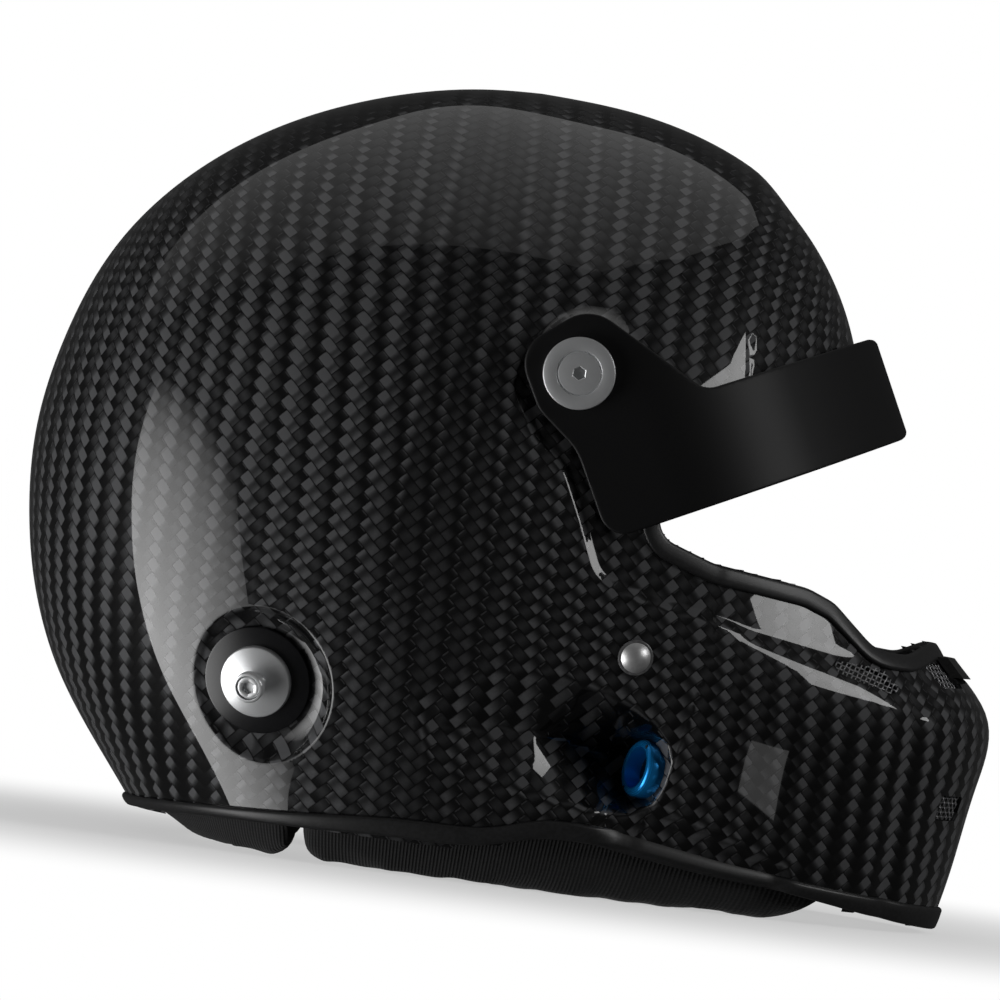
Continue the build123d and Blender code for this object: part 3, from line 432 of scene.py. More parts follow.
def skin(u, t):
    """Points of the moulded outside, with all its pockets and steps."""
    p = look_up(TABLE, u, t)
    n = unit_rows(look_up(TABLE_OUT, u, t))
    x, z = p[:, 0], p[:, 2]
    near = ease((np.abs(p[:, 1]) - MIDDLE_CLEAR) / MIDDLE_EASE)
    # Visor recess: a sloped step that dies out towards the top of the dome
    inward = -recess.distance(x, z)
    fade = 1 - ease((z - RECESS_FADE_FROM) / RECESS_FADE_OVER)
    step = soft_min(soft_max(inward * RECESS_SLOPE, 0.0, RECESS_EASE), RECESS_DEPTH, RECESS_EASE)
    sink = step * fade
    # Shoulder of the chin bar: the band between it and the eyeport leans inwards
    line = np.interp(x, SHOULDER[:, 0], SHOULDER[:, 1])
    above = soft_max(z - line, 0.0, SHOULDER_BEND)
    span = ease((x - SHOULDER_REAR) / SHOULDER_REAR_OVER)
    span = span * (1 - ease((x - SHOULDER_FRONT) / SHOULDER_FRONT_OVER))
    lean = soft_min(above * SHOULDER_SLOPE, SHOULDER_DEPTH, SHOULDER_EASE)
    sink = sink + lean * span * (1 - step / RECESS_DEPTH)
    # Upright groove at the corner of the chin
    _, gap = capsule_share(x, z, GROOVE_TOP, GROOVE_FOOT)
    sink = sink + GROOVE_DEPTH * ease(1 - gap / GROOVE_HALF) * near
    # Shallow scoop under the port
    part, gap = capsule_share(x, z, SCOOP_REAR, SCOOP_FRONT)
    scoop = soft_max((SCOOP_HALF - SCOOP_TAPER * part - gap) * SCOOP_SLOPE, 0.0, SCOOP_EASE)
    sink = sink + soft_min(scoop, SCOOP_DEPTH, SCOOP_EASE)
    p = p - n * sink[:, None]
    # Port pocket and peak boss, as depths from the middle plane
    w = -p[:, 1]
    w = soft_min(w, port_floor(x, w, z), POCKET_EDGE)
    radius = np.hypot(x - PIVOT[0], z - PIVOT[2])
    boss = BOSS_FACE - np.maximum(radius - BOSS_HALF, 0) * BOSS_SLOPE
    w = np.where(radius < BOSS_REACH, soft_max(w, boss, BOSS_EASE), w)
    p[:, 1] = np.where(near > 0, -w, p[:, 1])
    # Round dish of the head restraint anchor
    off = p - ANCHOR
    high = off @ ANCHOR_OUT
    radius = np.linalg.norm(off - high[:, None] * ANCHOR_OUT, axis=1)
    dish = -DISH_DEPTH + DISH_DEPTH * (np.maximum(radius - DISH_FLOOR, 0) / (DISH_RIM - DISH_FLOOR)) ** 2
    wanted = soft_min(high, dish, DISH_EASE)
    move = np.where((radius < DISH_REACH) & (off[:, 1] < DISH_INWARD), wanted - high, 0.0)
    return p + move[:, None] * ANCHOR_OUT


def skin_normals(u, t, step=0.25):
    """Outward directions of the moulded outside, from its points close by."""
    edge_u, edge_t = 1 / (ACROSS - 1), 1 / (UP - 1)
    here = np.clip(t, 0, 1 - edge_t * 2)
    a = look_up(TABLE, np.clip(u - edge_u, 0, 1), here)
    b = look_up(TABLE, np.clip(u + edge_u, 0, 1), here)
    du = 2 * edge_u * step / np.maximum(np.linalg.norm(b - a, axis=1), 0.02)
    a = look_up(TABLE, u, np.clip(here - edge_t, 0, 1))
    b = look_up(TABLE, u, np.clip(here + edge_t, 0, 1))
    dt = 2 * edge_t * step / np.maximum(np.linalg.norm(b - a, axis=1), 0.02)
    along = skin(np.clip(u + du, 0, 1), here) - skin(np.clip(u - du, 0, 1), here)
    rise = skin(u, np.clip(here + dt, 0, 1)) - skin(u, np.clip(here - dt, 0, 1))
    out = np.cross(along, rise)
    out[(u <= 0) | (u >= 1), 1] = 0
    size = np.linalg.norm(out, axis=1)
    out = out / np.maximum(size, 1e-12)[:, None]
    out[(t > 1 - edge_t * 1.5) | (size < 1e-9)] = (0, 0, 1)
    return out


def mesh_object(name, points, faces, smooth=True):
    """An object from points in millimetres."""
    mesh = bpy.data.meshes.new(name)
    mesh.from_pydata([tuple(p) for p in np.asarray(points) * MM], [], [tuple(f) for f in faces])
    mesh.validate()
    mesh.polygons.foreach_set("use_smooth", [smooth] * len(mesh.polygons))
    made = bpy.data.objects.new(name, mesh)
    bpy.context.scene.collection.objects.link(made)
    return made


def mirrored(points, faces, seam=1e-4):
    """Points and faces of a right half with its mirror image, joined on the middle plane."""
    points = np.array(points)
    twin = points * (1, -1, 1)
    on_seam = np.abs(points[:, 1]) < seam
    index = np.where(on_seam, np.arange(len(points)), 0)
    free = np.flatnonzero(~on_seam)
    index[free] = len(points) + np.arange(len(free))
    both = np.concatenate([points, twin[free]])
    return both, list(faces) + [tuple(int(index[k]) for k in reversed(f)) for f in faces], free


def set_normals(made, normals):
    made.data.normals_split_custom_set_from_vertices([tuple(n) for n in normals])


def put_uv(made, values, name="weave"):
    """Two values at each vertex, kept as a coordinate layer."""
    layer = made.data.uv_layers.new(name=name)
    loops = np.zeros(len(made.data.loops), int)
    made.data.loops.foreach_get("vertex_index", loops)
    layer.data.foreach_set("uv", np.asarray(values)[loops].astype(np.float32).ravel())


# Moulded shell: a grid over the right half, made finer where the surface changes
def shell_grid():
    columns, rows = 140, 118
    t_fine = np.linspace(0, 1, UP)
    side = np.argmin(np.abs(TABLE[0, :, 0] - SIDE_MIDDLE))
    length = chord_lengths(TABLE[:, side])
    t_rows = np.interp(np.linspace(0, length[-1], rows + 1), length, t_fine)
    u_columns = np.linspace(0, 1, columns + 1)
    grid = bmesh.new()
    spots = [[grid.verts.new((u, t, 0)) for u in u_columns] for t in t_rows[:-1]]
    top = grid.verts.new((0.5, 1.0, 0))
    for low, high in zip(spots, spots[1:]):
        for k in range(columns):
            grid.faces.new((low[k], low[k + 1], high[k + 1], high[k]))
    for k in range(columns):
        grid.faces.new((spots[-1][k], spots[-1][k + 1], top))
    grid.verts.index_update()
    return grid


def read_places(grid):
    grid.verts.ensure_lookup_table()
    places = np.array([v.co[:] for v in grid.verts], float).reshape(-1, 3)
    return places[:, 0], places[:, 1]


# Front vents: place and half sizes of their openings, in the front view
VENTS = ("side", "upper", "lower")
FRONT_VENT_HEIGHT = {"upper": 0.330 * HEIGHT, "lower": 0.161 * HEIGHT}
FRONT_VENT_Y, FRONT_VENT_HALF, FRONT_VENT_TALL, FRONT_VENT_CORNER = 34.0, 8.0, 4.5, 1.2
CHIN_FRONT, FAR_AWAY = 120.0, 50.0


def vent_distance(p, which):
    """Distance in millimetres to a vent's edge, negative inside the opening."""
    if which == "side":
        return side_vent.distance(p[:, 0], p[:, 2])
    across = np.abs(np.abs(p[:, 1]) - FRONT_VENT_Y) - (FRONT_VENT_HALF - FRONT_VENT_CORNER)
    up = np.abs(p[:, 2] - FRONT_VENT_HEIGHT[which]) - (FRONT_VENT_TALL - FRONT_VENT_CORNER)
    out = np.hypot(np.maximum(across, 0), np.maximum(up, 0))
    out = out + np.minimum(np.maximum(across, up), 0) - FRONT_VENT_CORNER
    return np.where(p[:, 0] > CHIN_FRONT, out, FAR_AWAY)


# Edge lengths of the shell's mesh, and how far round the reliefs each of them is wanted
COARSE, PLAIN, FAIR, EVEN, CLOSE, FINE, SHARP, RIM = 9.0, 4.4, 1.7, 1.5, 1.4, 1.0, 0.9, 0.5
OVERSIZE, OPENED, RIM_REACH = 1.25, -6.0, 1.2
STEP_MIDDLE, STEP_BAND, STEP_TOP = 1.6, 4.5, 198.0
SHOULDER_BAND, SHOULDER_FROM, SHOULDER_TO = 4.0, 62.0, 166.0
GROOVE_BAND, SCOOP_EDGE, SCOOP_BAND = 1.0, 9.0, 5.0
POCKET_FROM, POCKET_TO, POCKET_LOW, POCKET_HIGH = -60.0, 72.0, 18.0, 78.0
POCKET_BAND, POCKET_AHEAD = 4.0, 10.0
DISH_BAND, DISH_FINE_FROM, DISH_FINE_TO = 7.4, 17.0, 31.0
BOSS_BAND, EYE_BAND, VENT_BAND = 34.0, 5.0, 1.4


def wanted_size(p):
    """Edge length wanted at points, in millimetres."""
    x, z = p[:, 0], p[:, 2]
    inward = -recess.distance(x, z)
    shoulder = np.abs(z - np.interp(x, SHOULDER[:, 0], SHOULDER[:, 1]))
    _, groove = capsule_share(x, z, GROOVE_TOP, GROOVE_FOOT)
    part, scoop = capsule_share(x, z, SCOOP_REAR, SCOOP_FRONT)
    dish = np.linalg.norm(p - ANCHOR, axis=1)
    boss = np.hypot(x - PIVOT[0], z - PIVOT[2])
    beside_port = (x > POCKET_FROM) & (x < POCKET_TO) & (z > POCKET_LOW) & (z < POCKET_HIGH)
    marks = [
        ((np.abs(inward - STEP_MIDDLE) < STEP_BAND) & (z < STEP_TOP), FINE),
        ((shoulder < SHOULDER_BAND) & (x > SHOULDER_FROM) & (x < SHOULDER_TO), FAIR),
        (groove < GROOVE_HALF + GROOVE_BAND, CLOSE),
        (np.abs(scoop - SCOOP_EDGE + SCOOP_TAPER * part) < SCOOP_BAND, EVEN),
        (beside_port, FAIR),
        ((np.abs(pocket.distance(x, z)) < POCKET_BAND) & (x > POCKET_AHEAD), SHARP),
        (dish < DISH_RIM + DISH_BAND, FAIR),
        ((dish > DISH_FINE_FROM) & (dish < DISH_FINE_TO), SHARP),
        (boss < BOSS_BAND, FAIR),
        (np.abs(eyeport.distance(x, z)) < EYE_BAND, FAIR),
    ]
    marks += [(np.abs(vent_distance(p, which)) < VENT_BAND, RIM) for which in VENTS]
    size = np.full(len(p), PLAIN)
    for here, edge in marks:
        size = np.where(here, np.minimum(size, edge), size)
    return size


def refine(grid, passes=4):
    for _ in range(passes):
        u, t = read_places(grid)
        p = look_up(TABLE, u, t)
        wanted = wanted_size(p)
        wanted[eyeport.distance(p[:, 0], p[:, 2]) < OPENED] = COARSE
        cut = set()
        for face in grid.faces:
            k = [v.index for v in face.verts]
            if len(k) < 4:
                continue
            size = min(wanted[i] for i in k)
            longest = max(np.linalg.norm(p[a] - p[b]) for a, b in zip(k, k[1:] + k[:1]))
            if longest > size * OVERSIZE:
                cut.update(face.edges)
        if not cut:
            break
        bmesh.ops.subdivide_edges(grid, edges=list(cut), cuts=1, use_grid_fill=True)
        grid.verts.index_update()
    bmesh.ops.triangulate(grid, faces=[f for f in grid.faces if len(f.verts) > 4])
    grid.verts.index_update()
    return grid


# How far the shell runs on under the trims
TRIM_COVER, BASE_COVER = 1.2, 1.5


def base_height(x, line):
    return np.interp(x, line[:, 0], line[:, 1])


def settle(u, t, distance, rounds=6):
    """Moves places on the surface to where a distance is zero."""
    for _ in range(rounds):
        p = look_up(TABLE, u, t)
        here = distance(p)
        e = 5e-4
        pu = look_up(TABLE, u + e, t)
        pt = look_up(TABLE, u, t + e)
        su = np.maximum(np.linalg.norm(pu - p, axis=1), 1e-6)
        st = np.maximum(np.linalg.norm(pt - p, axis=1), 1e-6)
        gu = (distance(pu) - here) / su
        gt = (distance(pt) - here) / st
        size = np.maximum(gu * gu + gt * gt, 0.05)
        step = np.clip(here / size, -1.5, 1.5)
        u = u - step * gu / su * e
        t = t - step * gt / st * e
    return u, t


def make_shell():
    grid = refine(shell_grid())
    u, t = read_places(grid)
    faces = [[v.index for v in f.verts] for f in grid.faces]
    grid.free()
    p = look_up(TABLE, u, t)
    opened = eyeport.distance(p[:, 0], p[:, 2]) - TRIM_COVER
    under = p[:, 2] - base_height(p[:, 0], base_line) - BASE_COVER
    hole = {which: vent_distance(p, which) for which in VENTS}
    kept = []
    for f in faces:
        if max(opened[k] for k in f) < 0 or min(opened[k] for k in f) < -2 * TRIM_COVER:
            continue
        if max(under[k] for k in f) < 0 or min(under[k] for k in f) < -2 * BASE_COVER:
            continue
        if any(sum(hole[w][k] for k in f) < 0 for w in VENTS):
            continue
        kept.append(f)
    # Vertices left on a vent's edge move on to the outline, which then gets a rim
    edges = {}
    for f in kept:
        for a, b in zip(f, f[1:] + f[:1]):
            edges[(a, b)] = True
    open_edges = [(a, b) for a, b in edges if (b, a) not in edges]
    rims = []
    for which in VENTS:
        near = [
            (a, b)
            for a, b in open_edges
            if max(abs(hole[which][a]), abs(hole[which][b])) < RIM_REACH
        ]
        spots = sorted({k for e in near for k in e})
        if spots:
            u[spots], t[spots] = settle(u[spots], t[spots], lambda q, w=which: vent_distance(q, w))
            rims.append(near)
    points = skin(u, t)
    normals = skin_normals(u, t)
    weave = look_up(WEAVE, u, t)
    points[(u <= 0) | (u >= 1), 1] = 0
    used, renumber, kept = only_used(kept)
    rims = [[(renumber[a], renumber[b]) for a, b in near] for near in rims]
    points, normals, weave = list(points[used]), list(normals[used]), list(weave[used])
    for near in rims:
        made = {}
        total = sum(np.asarray(points[a]) for a, _ in near) / len(near)

        def rim_spot(k, deep):
            key = (k, deep)
            if key not in made:
                spot, out = np.asarray(points[k]), np.asarray(normals[k])
                made[key] = len(points)
                points.append(spot - out * (WALL if deep else 0.0))
                to_middle = total - spot
                to_middle = to_middle - out * (to_middle @ out)
                normals.append(to_middle / np.linalg.norm(to_middle))
                weave.append(weave[k])
            return made[key]

        for a, b in near:
            kept.append([rim_spot(b, False), rim_spot(a, False), rim_spot(a, True), rim_spot(b, True)])
    points, normals, weave = np.array(points), np.array(normals), np.array(weave)
    both, faces, free = mirrored(points, kept)
    shell = mesh_object("shell_moulding", both, faces)
    set_normals(shell, np.concatenate([normals, normals[free] * (1, -1, 1)]))
    put_uv(shell, np.concatenate([weave, weave[free]]) * MM)
    return shell


def make_shell_inside():
    """Inner face of the moulding, which shows past the liners."""
    columns, rows = 110, 90
    u, t = np.meshgrid(np.linspace(0, 1, columns + 1), np.linspace(0, 0.97, rows + 1))
    u, t = u.ravel(), t.ravel()
    p = look_up(TABLE, u, t)
    opened = eyeport.distance(p[:, 0], p[:, 2])
    under = p[:, 2] - base_height(p[:, 0], base_line) - BASE_COVER
    points = skin(u, t) - skin_normals(u, t, 2.0) * WALL
    points[(u <= 0) | (u >= 1), 1] = 0
    width = columns + 1
    faces = []
    for j in range(rows):
        for i in range(columns):
            f = [j * width + i, (j + 1) * width + i, (j + 1) * width + i + 1, j * width + i + 1]
            if min(opened[k] for k in f) < 0.5 or min(under[k] for k in f) < 0:
                continue
            faces.append(f)
    used, _, faces = only_used(faces)
    both, faces, _ = mirrored(points[used], faces)
    return mesh_object("shell_inside", both, faces)


# Edge trims: a rubber U-section swept along an edge of the shell
TRIM_REACH, TRIM_WEB, TRIM_STRETCH = 4.8, 1.5, 2.4
EYE_PROUD, EYE_REACH, BASE_PROUD, BASE_WIDTH_SHARE = 1.5, 5.8, 1.8, 0.98


def surface_path(outline, closed, step=1.5):
    """Places along a side outline on the right side, from middle plane to middle plane."""
    if closed:
        outline = np.concatenate([outline, outline[:1]])
    knots = chord_lengths(outline)
    fine = np.linspace(0, knots[-1], int(knots[-1] / 0.25))
    x, z = np.interp(fine, knots, outline[:, 0]), np.interp(fine, knots, outline[:, 1])
    front = np.interp(z, ROW_Z, TABLE[:, -1, 0])
    rear = np.interp(z, ROW_Z, TABLE[:, 0, 0])
    inside = (x < front) & (x > rear)
    if closed:
        start = np.flatnonzero(~inside)[0]
        x, z, inside = np.roll(x, -start), np.roll(z, -start), np.roll(inside, -start)
    held = np.flatnonzero(inside)
    first, last = held[0], held[-1]

    def crossing(inner, outer):
        a, b = np.array((x[inner], z[inner])), np.array((x[outer], z[outer]))
        for _ in range(40):
            mid = (a + b) / 2
            ring = (np.interp(mid[1], ROW_Z, TABLE[:, 0, 0]), np.interp(mid[1], ROW_Z, TABLE[:, -1, 0]))
            if ring[0] < mid[0] < ring[1]:
                a = mid
            else:
                b = mid
        return a

    ends = [crossing(first, first - 1), crossing(last, (last + 1) % len(x))]
    spots = np.stack([x[held], z[held]], 1)

    def closing(edge, inner):
        return edge + (inner - edge) * np.linspace(0, 1, 40)[:, None] ** 2.2

    spots = np.concatenate([closing(ends[0], spots[4]), spots[5:-5], closing(ends[1], spots[-5])[::-1]])
    u, t = side_place(spots[:, 0], spots[:, 1])
    u[0], u[-1] = round(u[0]), round(u[-1])
    p = look_up(TABLE, u, t)
    total = chord_lengths(p)
    even = np.linspace(0, total[-1], max(8, int(total[-1] / step)))
    return np.interp(even, total, u), np.interp(even, total, t)


def swept_trim(name, u, t, widths, section, away):
    """A section swept along places; away tells which side of the edge the shell lies."""
    p = skin(u, t)
    p[0, 1] = p[-1, 1] = 0
    n = skin_normals(u, t, 1.2)
    for _ in range(3):
        n[1:-1] = (n[:-2] + 2 * n[1:-1] + n[2:]) / 4
    along = unit_rows(np.gradient(p, axis=0))
    n -= along * np.sum(n * along, 1, keepdims=True)
    n[0, 1] = n[-1, 1] = 0
    n = unit_rows(n)
    side = np.cross(n, along)
    side[0, 1] = side[-1, 1] = 0
    side = unit_rows(side)
    middle = len(p) // 2
    if away(p[middle] + side[middle]) < away(p[middle]):
        side = -side
    section = np.array(section)
    points = []
    for k in range(len(p)):
        b = section[:, 0] + (widths[k] - TRIM_REACH) * ease((section[:, 0] - TRIM_WEB) / TRIM_STRETCH)
        points.append(p[k] + b[:, None] * side[k] + section[:, 1:] * n[k])
    both, faces, _ = mirrored(np.concatenate(points), band_faces(len(p), len(section)))
    made = mesh_object(name, both, faces)
    fix_winding(made)
    return made


def fix_winding(made):
    """Turns every face outward."""
    work = bmesh.new()
    work.from_mesh(made.data)
    bmesh.ops.recalc_face_normals(work, faces=work.faces)
    work.to_mesh(made.data)
    work.free()


def trim_section(proud, reach, web=1.5):
    """Two lips of the rubber, joined by a web round the shell's edge."""
    deep = -WALL
    return (
        (reach, 0.0), (reach, proud * 0.45), (reach - 0.3, proud * 0.8), (reach - 0.9, proud),
        (reach * 0.55, proud * 1.06), (1.5, proud), (0.7, proud * 0.86), (0.15, proud * 0.5),
        (0.0, 0.0), (0.0, deep), (0.15, deep - proud * 0.5), (0.7, deep - proud * 0.86),
        (1.5, deep - proud), (reach - 0.9, deep - proud), (reach - 0.2, deep - proud * 0.7),
        (reach, deep), (web, deep), (web, 0.0),
    )


def make_trims():
    u, t = surface_path(eyeport.outline, True)
    rubber = swept_trim(
        "eyeport_rubber", u, t, np.full(len(u), EYE_REACH), trim_section(EYE_PROUD, EYE_REACH),
        lambda q: eyeport.distance(q[0], q[2]),
    )
    u, t = surface_path(base_line, False, 2.0)
    p = look_up(TABLE, u, t)
    widths = (base_height(p[:, 0], base_lip) - base_height(p[:, 0], base_line)) * BASE_WIDTH_SHARE
    section = trim_section(BASE_PROUD, TRIM_REACH)
    band = swept_trim("base_rubber", u, t, widths, section, lambda q: q[2])
    return rubber, band


# Peak: a sheet bent round the brow, in arcs that close at the nose
PEAK_LEAN = math.tan(math.radians(25.9))
PEAK_SHEET, PEAK_HALF, PEAK_NOSE = 2.2, 122.2, 0.3726 * LENGTH
PEAK_STRAIGHT, PEAK_REAR, PEAK_FOOT, PEAK_TOP = 0.085 * LENGTH, -14.0, 124.0, 211.0
PEAK_BROW_RADIUS, PEAK_ELBOW, PEAK_BROW = 200.0, math.radians(50), math.radians(70)
PEAK_STEP, PEAK_ROWS, PEAK_ROUND = 1.2, 74, 0.7


def peak_plan():
    """Plan line of the sheet's outside, from the arm's end to the nose, at the pivot's height."""
    start = np.array((PEAK_STRAIGHT, -PEAK_HALF))
    bow, elbow, brow = PEAK_BROW_RADIUS, PEAK_ELBOW, PEAK_BROW
    ahead = PEAK_NOSE - start[0] - bow * (math.sin(brow) - math.sin(elbow))
    across = PEAK_HALF - bow * (math.cos(elbow) - math.cos(brow))
    share = math.sin(elbow) * math.cos(brow) - (1 - math.sin(brow)) * (1 - math.cos(elbow))
    first = (ahead * math.cos(brow) - across * (1 - math.sin(brow))) / share
    last = (across * math.sin(elbow) - ahead * (1 - math.cos(elbow))) / share
    line = [np.array((x, -PEAK_HALF)) for x in np.arange(PEAK_REAR, start[0] - 0.5, PEAK_STEP)]
    at, heading = start, 0.0
    for radius, turn in ((first, elbow), (bow, brow - elbow), (last, math.pi / 2 - brow)):
        centre = at + radius * np.array((-math.sin(heading), math.cos(heading)))
        steps = int(radius * turn / PEAK_STEP) + 1
        for k in range(steps):
            a = heading + turn * k / steps
            line.append(centre + radius * np.array((math.sin(a), -math.cos(a))))
        heading += turn
        at = centre + radius * np.array((math.sin(heading), -math.cos(heading)))
    line.append(np.array((PEAK_NOSE, 0.0)))
    return np.array(line)


def make_peak():
    """The peak's sheet, cut to its side outline, with a rounded rim."""
    region = Region(PEAK, PEAK_CORNERS)
    plan = peak_plan()
    rows = PEAK_ROWS
    heights = np.linspace(PEAK_FOOT, PEAK_TOP, rows)
    places = np.array([(s, z) for z in heights for s in range(len(plan))], float)

    def sheet(places):
        low = np.minimum(places[:, 0].astype(int), len(plan) - 2)
        part = (places[:, 0] - low)[:, None]
        flat = plan[low] * (1 - part) + plan[low + 1] * part
        turn = unit_rows(np.gradient(plan, axis=0))
        way = turn[low] * (1 - part) + turn[low + 1] * part
        x = flat[:, 0] + (PIVOT[2] - places[:, 1]) * PEAK_LEAN
        out = np.stack([way[:, 1], -way[:, 0], way[:, 1] * PEAK_LEAN], 1)
        return np.stack([x, flat[:, 1], places[:, 1]], 1), unit_rows(out)

    def distance(places):
        p, _ = sheet(places)
        return region.distance(p[:, 0], p[:, 2])

    count = len(plan)
    gap = distance(places)
    faces = []
    for j in range(rows - 1):
        for i in range(count - 1):
            f = [j * count + i, j * count + i + 1, (j + 1) * count + i + 1, (j + 1) * count + i]
            if sum(gap[k] for k in f) < 0:
                faces.append(f)
    edges = {(a, b) for f in faces for a, b in zip(f, f[1:] + f[:1])}
    rim = [(a, b) for a, b in edges if (b, a) not in edges]
    rim = [(a, b) for a, b in rim if not (places[a, 0] == count - 1 and places[b, 0] == count - 1)]
    spots = np.array(sorted({k for e in rim for k in e}))
    held = places[spots, 0] == count - 1
    nudge = 0.05
    for _ in range(8):
        here = places[spots]
        d = distance(here)
        ds = (distance(here + (nudge, 0)) - distance(here - (nudge, 0))) / (2 * nudge)
        dz = (distance(here + (0, nudge)) - distance(here - (0, nudge))) / (2 * nudge)
        ds[held] = 0
        size = np.maximum(ds * ds + dz * dz, 0.05)
        places[spots] -= np.stack([np.clip(d * ds / size, -1, 1), np.clip(d * dz / size, -1, 1)], 1)
        places[spots, 0] = np.clip(places[spots, 0], 0, count - 1)
    used, renumber, faces = only_used(faces)
    rim = [(renumber[a], renumber[b]) for a, b in rim]
    places = places[used]
    p, out = sheet(places)
    middle = places[:, 0] == count - 1
    p[middle, 1] = 0
    out[middle, 1] = 0
    out = unit_rows(out)
    # The rim is rounded: the direction past the edge comes from the outline
    step = 0.2
    edge_way = np.zeros_like(p)
    rim_spots = sorted({k for e in rim for k in e})
    for k in rim_spots:
        px, pz = p[k : k + 1, 0], p[k : k + 1, 2]
        gx = region.distance(px + step, pz)[0] - region.distance(px - step, pz)[0]
        gz = region.distance(px, pz + step)[0] - region.distance(px, pz - step)[0]
        way = np.array((gx, 0, gz))
        way -= out[k] * (way @ out[k])
        if middle[k]:
            way[1] = 0
        edge_way[k] = way / max(np.linalg.norm(way), 1e-9)
    points = list(p)
    total = len(p)
    points += list(p - out * PEAK_SHEET)
    for k in rim_spots:
        points[k] = p[k] - edge_way[k] * PEAK_ROUND
        points[total + k] = p[k] - edge_way[k] * PEAK_ROUND - out[k] * PEAK_SHEET
    faces = faces + [[total + k for k in reversed(f)] for f in faces]
    corner = 0.2
    profile = (
        (-corner, corner), (0.0, PEAK_ROUND), (0.0, PEAK_SHEET - PEAK_ROUND), (-corner, PEAK_SHEET - corner)
    )
    made = {}

    def spot(k, ring):
        if ring == 0:
            return k
        if ring == len(profile) + 1:
            return total + k
        if (k, ring) not in made:
            along, deep = profile[ring - 1]
            made[(k, ring)] = len(points)
            points.append(p[k] + edge_way[k] * along - out[k] * deep)
        return made[(k, ring)]

    for a, b in rim:
        for ring in range(len(profile) + 1):
            faces.append([spot(b, ring), spot(a, ring), spot(a, ring + 1), spot(b, ring + 1)])
    both, faces, _ = mirrored(np.array(points), faces)
    peak = mesh_object("peak_sheet", both, faces)
    fix_winding(peak)
    peak.data.set_sharp_from_angle(angle=math.radians(50))
    return peak


# Turned pieces
def lathe(name, profile, origin, axis, ahead, segments, mirror=True):
    """A turned piece from rows of radius and height; a third value gives a six-sided row."""
    axis = np.array(axis, float) / np.linalg.norm(axis)
    ahead = np.array(ahead, float) - axis * np.dot(ahead, axis)
    ahead /= np.linalg.norm(ahead)
    side = np.cross(axis, ahead)
    angles = np.linspace(0, 2 * np.pi, segments, endpoint=False)
    points, rows = [], []
    for row in profile:
        radius, height = row[0], row[1]
        if radius == 0:
            rows.append([len(points)] * segments)
            points.append(np.array(origin) + axis * height)
            continue
        reach = np.full(segments, float(radius))
        if len(row) > 2:
            turn = (angles + np.pi / 6) % (np.pi / 3) - np.pi / 6
            reach = radius / np.cos(turn)
        rows.append(list(range(len(points), len(points) + segments)))
        for a, r in zip(angles, reach):
            spot = np.array(origin) + axis * height + r * (ahead * math.cos(a) + side * math.sin(a))
            points.append(spot)
    faces = []
    pairs = list(zip(rows, rows[1:]))
    if profile[0][0] > 0 and profile[-1][0] > 0:
        pairs.append((rows[-1], rows[0]))
    for low, high in pairs:
        for i in range(segments):
            j = (i + 1) % segments
            f = [low[i], low[j], high[j], high[i]]
            f = [k for n, k in enumerate(f) if k not in f[:n]]
            if len(f) > 2:
                faces.append(f)
    pieces = [mesh_object(name + ("_right" if mirror else ""), points, faces)]
    if mirror:
        twin = np.array(points) * (1, -1, 1)
        pieces.append(mesh_object(name + "_left", twin, faces))
    for made in pieces:
        fix_winding(made)
        made.data.set_sharp_from_angle(angle=math.radians(38))
    return pieces


def add_node(tree, kind, inputs=(), **settings):
    """A shader node with its settings, and the values or links of its named sockets."""
    node = tree.nodes.new(kind)
    for key, value in settings.items():
        setattr(node, key, value)
    for key, value in dict(inputs).items():
        if isinstance(value, Flow):
            tree.links.new(value.socket, node.inputs[key])
        elif isinstance(value, bpy.types.NodeSocket):
            tree.links.new(value, node.inputs[key])
        else:
            node.inputs[key].default_value = value
    return node


class Flow:
    """A value in a material's tree, so that a pattern is written as a formula."""

    def __init__(self, tree, socket):
        self.tree, self.socket = tree, socket

    def math(self, kind, *others):
        node = add_node(self.tree, "ShaderNodeMath", enumerate((self,) + others), operation=kind)
        return Flow(self.tree, node.outputs[0])

    def __add__(self, other):
        return self.math("ADD", other)

    def __sub__(self, other):
        return self.math("SUBTRACT", other)

    def __rsub__(self, other):
        return self.math("MULTIPLY", -1.0).math("ADD", other)

    def __mul__(self, other):
        return self.math("MULTIPLY", other)

    def __truediv__(self, other):
        return self.math("DIVIDE", other)

    def __pow__(self, other):
        return self.math("POWER", other)

    def __neg__(self):
        return self.math("MULTIPLY", -1.0)

    def __abs__(self):
        return self.math("ABSOLUTE")

    __radd__, __rmul__ = __add__, __mul__

    def floor(self):
        return self.math("FLOOR")

    def wrap(self, size):
        return self.math("FLOORED_MODULO", size)

    def below(self, other):
        return self.math("LESS_THAN", other)

    def root(self):
        return self.math("SQRT")

    def wave(self):
        """A sine of this, from 0 to 1."""
        return self.math("SINE") * 0.5 + 0.5

    def least(self, other):
        return self.math("MINIMUM", other)

    def most(self, other):
        return self.math("MAXIMUM", other)

    def rise(self, low, high):
        """0 below low, 1 above high, smooth between them."""
        ends = {"Value": self, "From Min": low, "From Max": high}
        node = add_node(self.tree, "ShaderNodeMapRange", ends, interpolation_type="SMOOTHSTEP")
        return Flow(self.tree, node.outputs["Result"])

    def pick(self, yes, no):
        """yes where this is 1, no where it is 0."""
        return no + (yes - no) * self


def split(tree, socket, scale=1.0):
    """The three values of a vector, scaled."""
    node = add_node(tree, "ShaderNodeSeparateXYZ", {0: socket})
    values = [Flow(tree, node.outputs[k]) for k in "XYZ"]
    return values if scale == 1.0 else [value * scale for value in values]


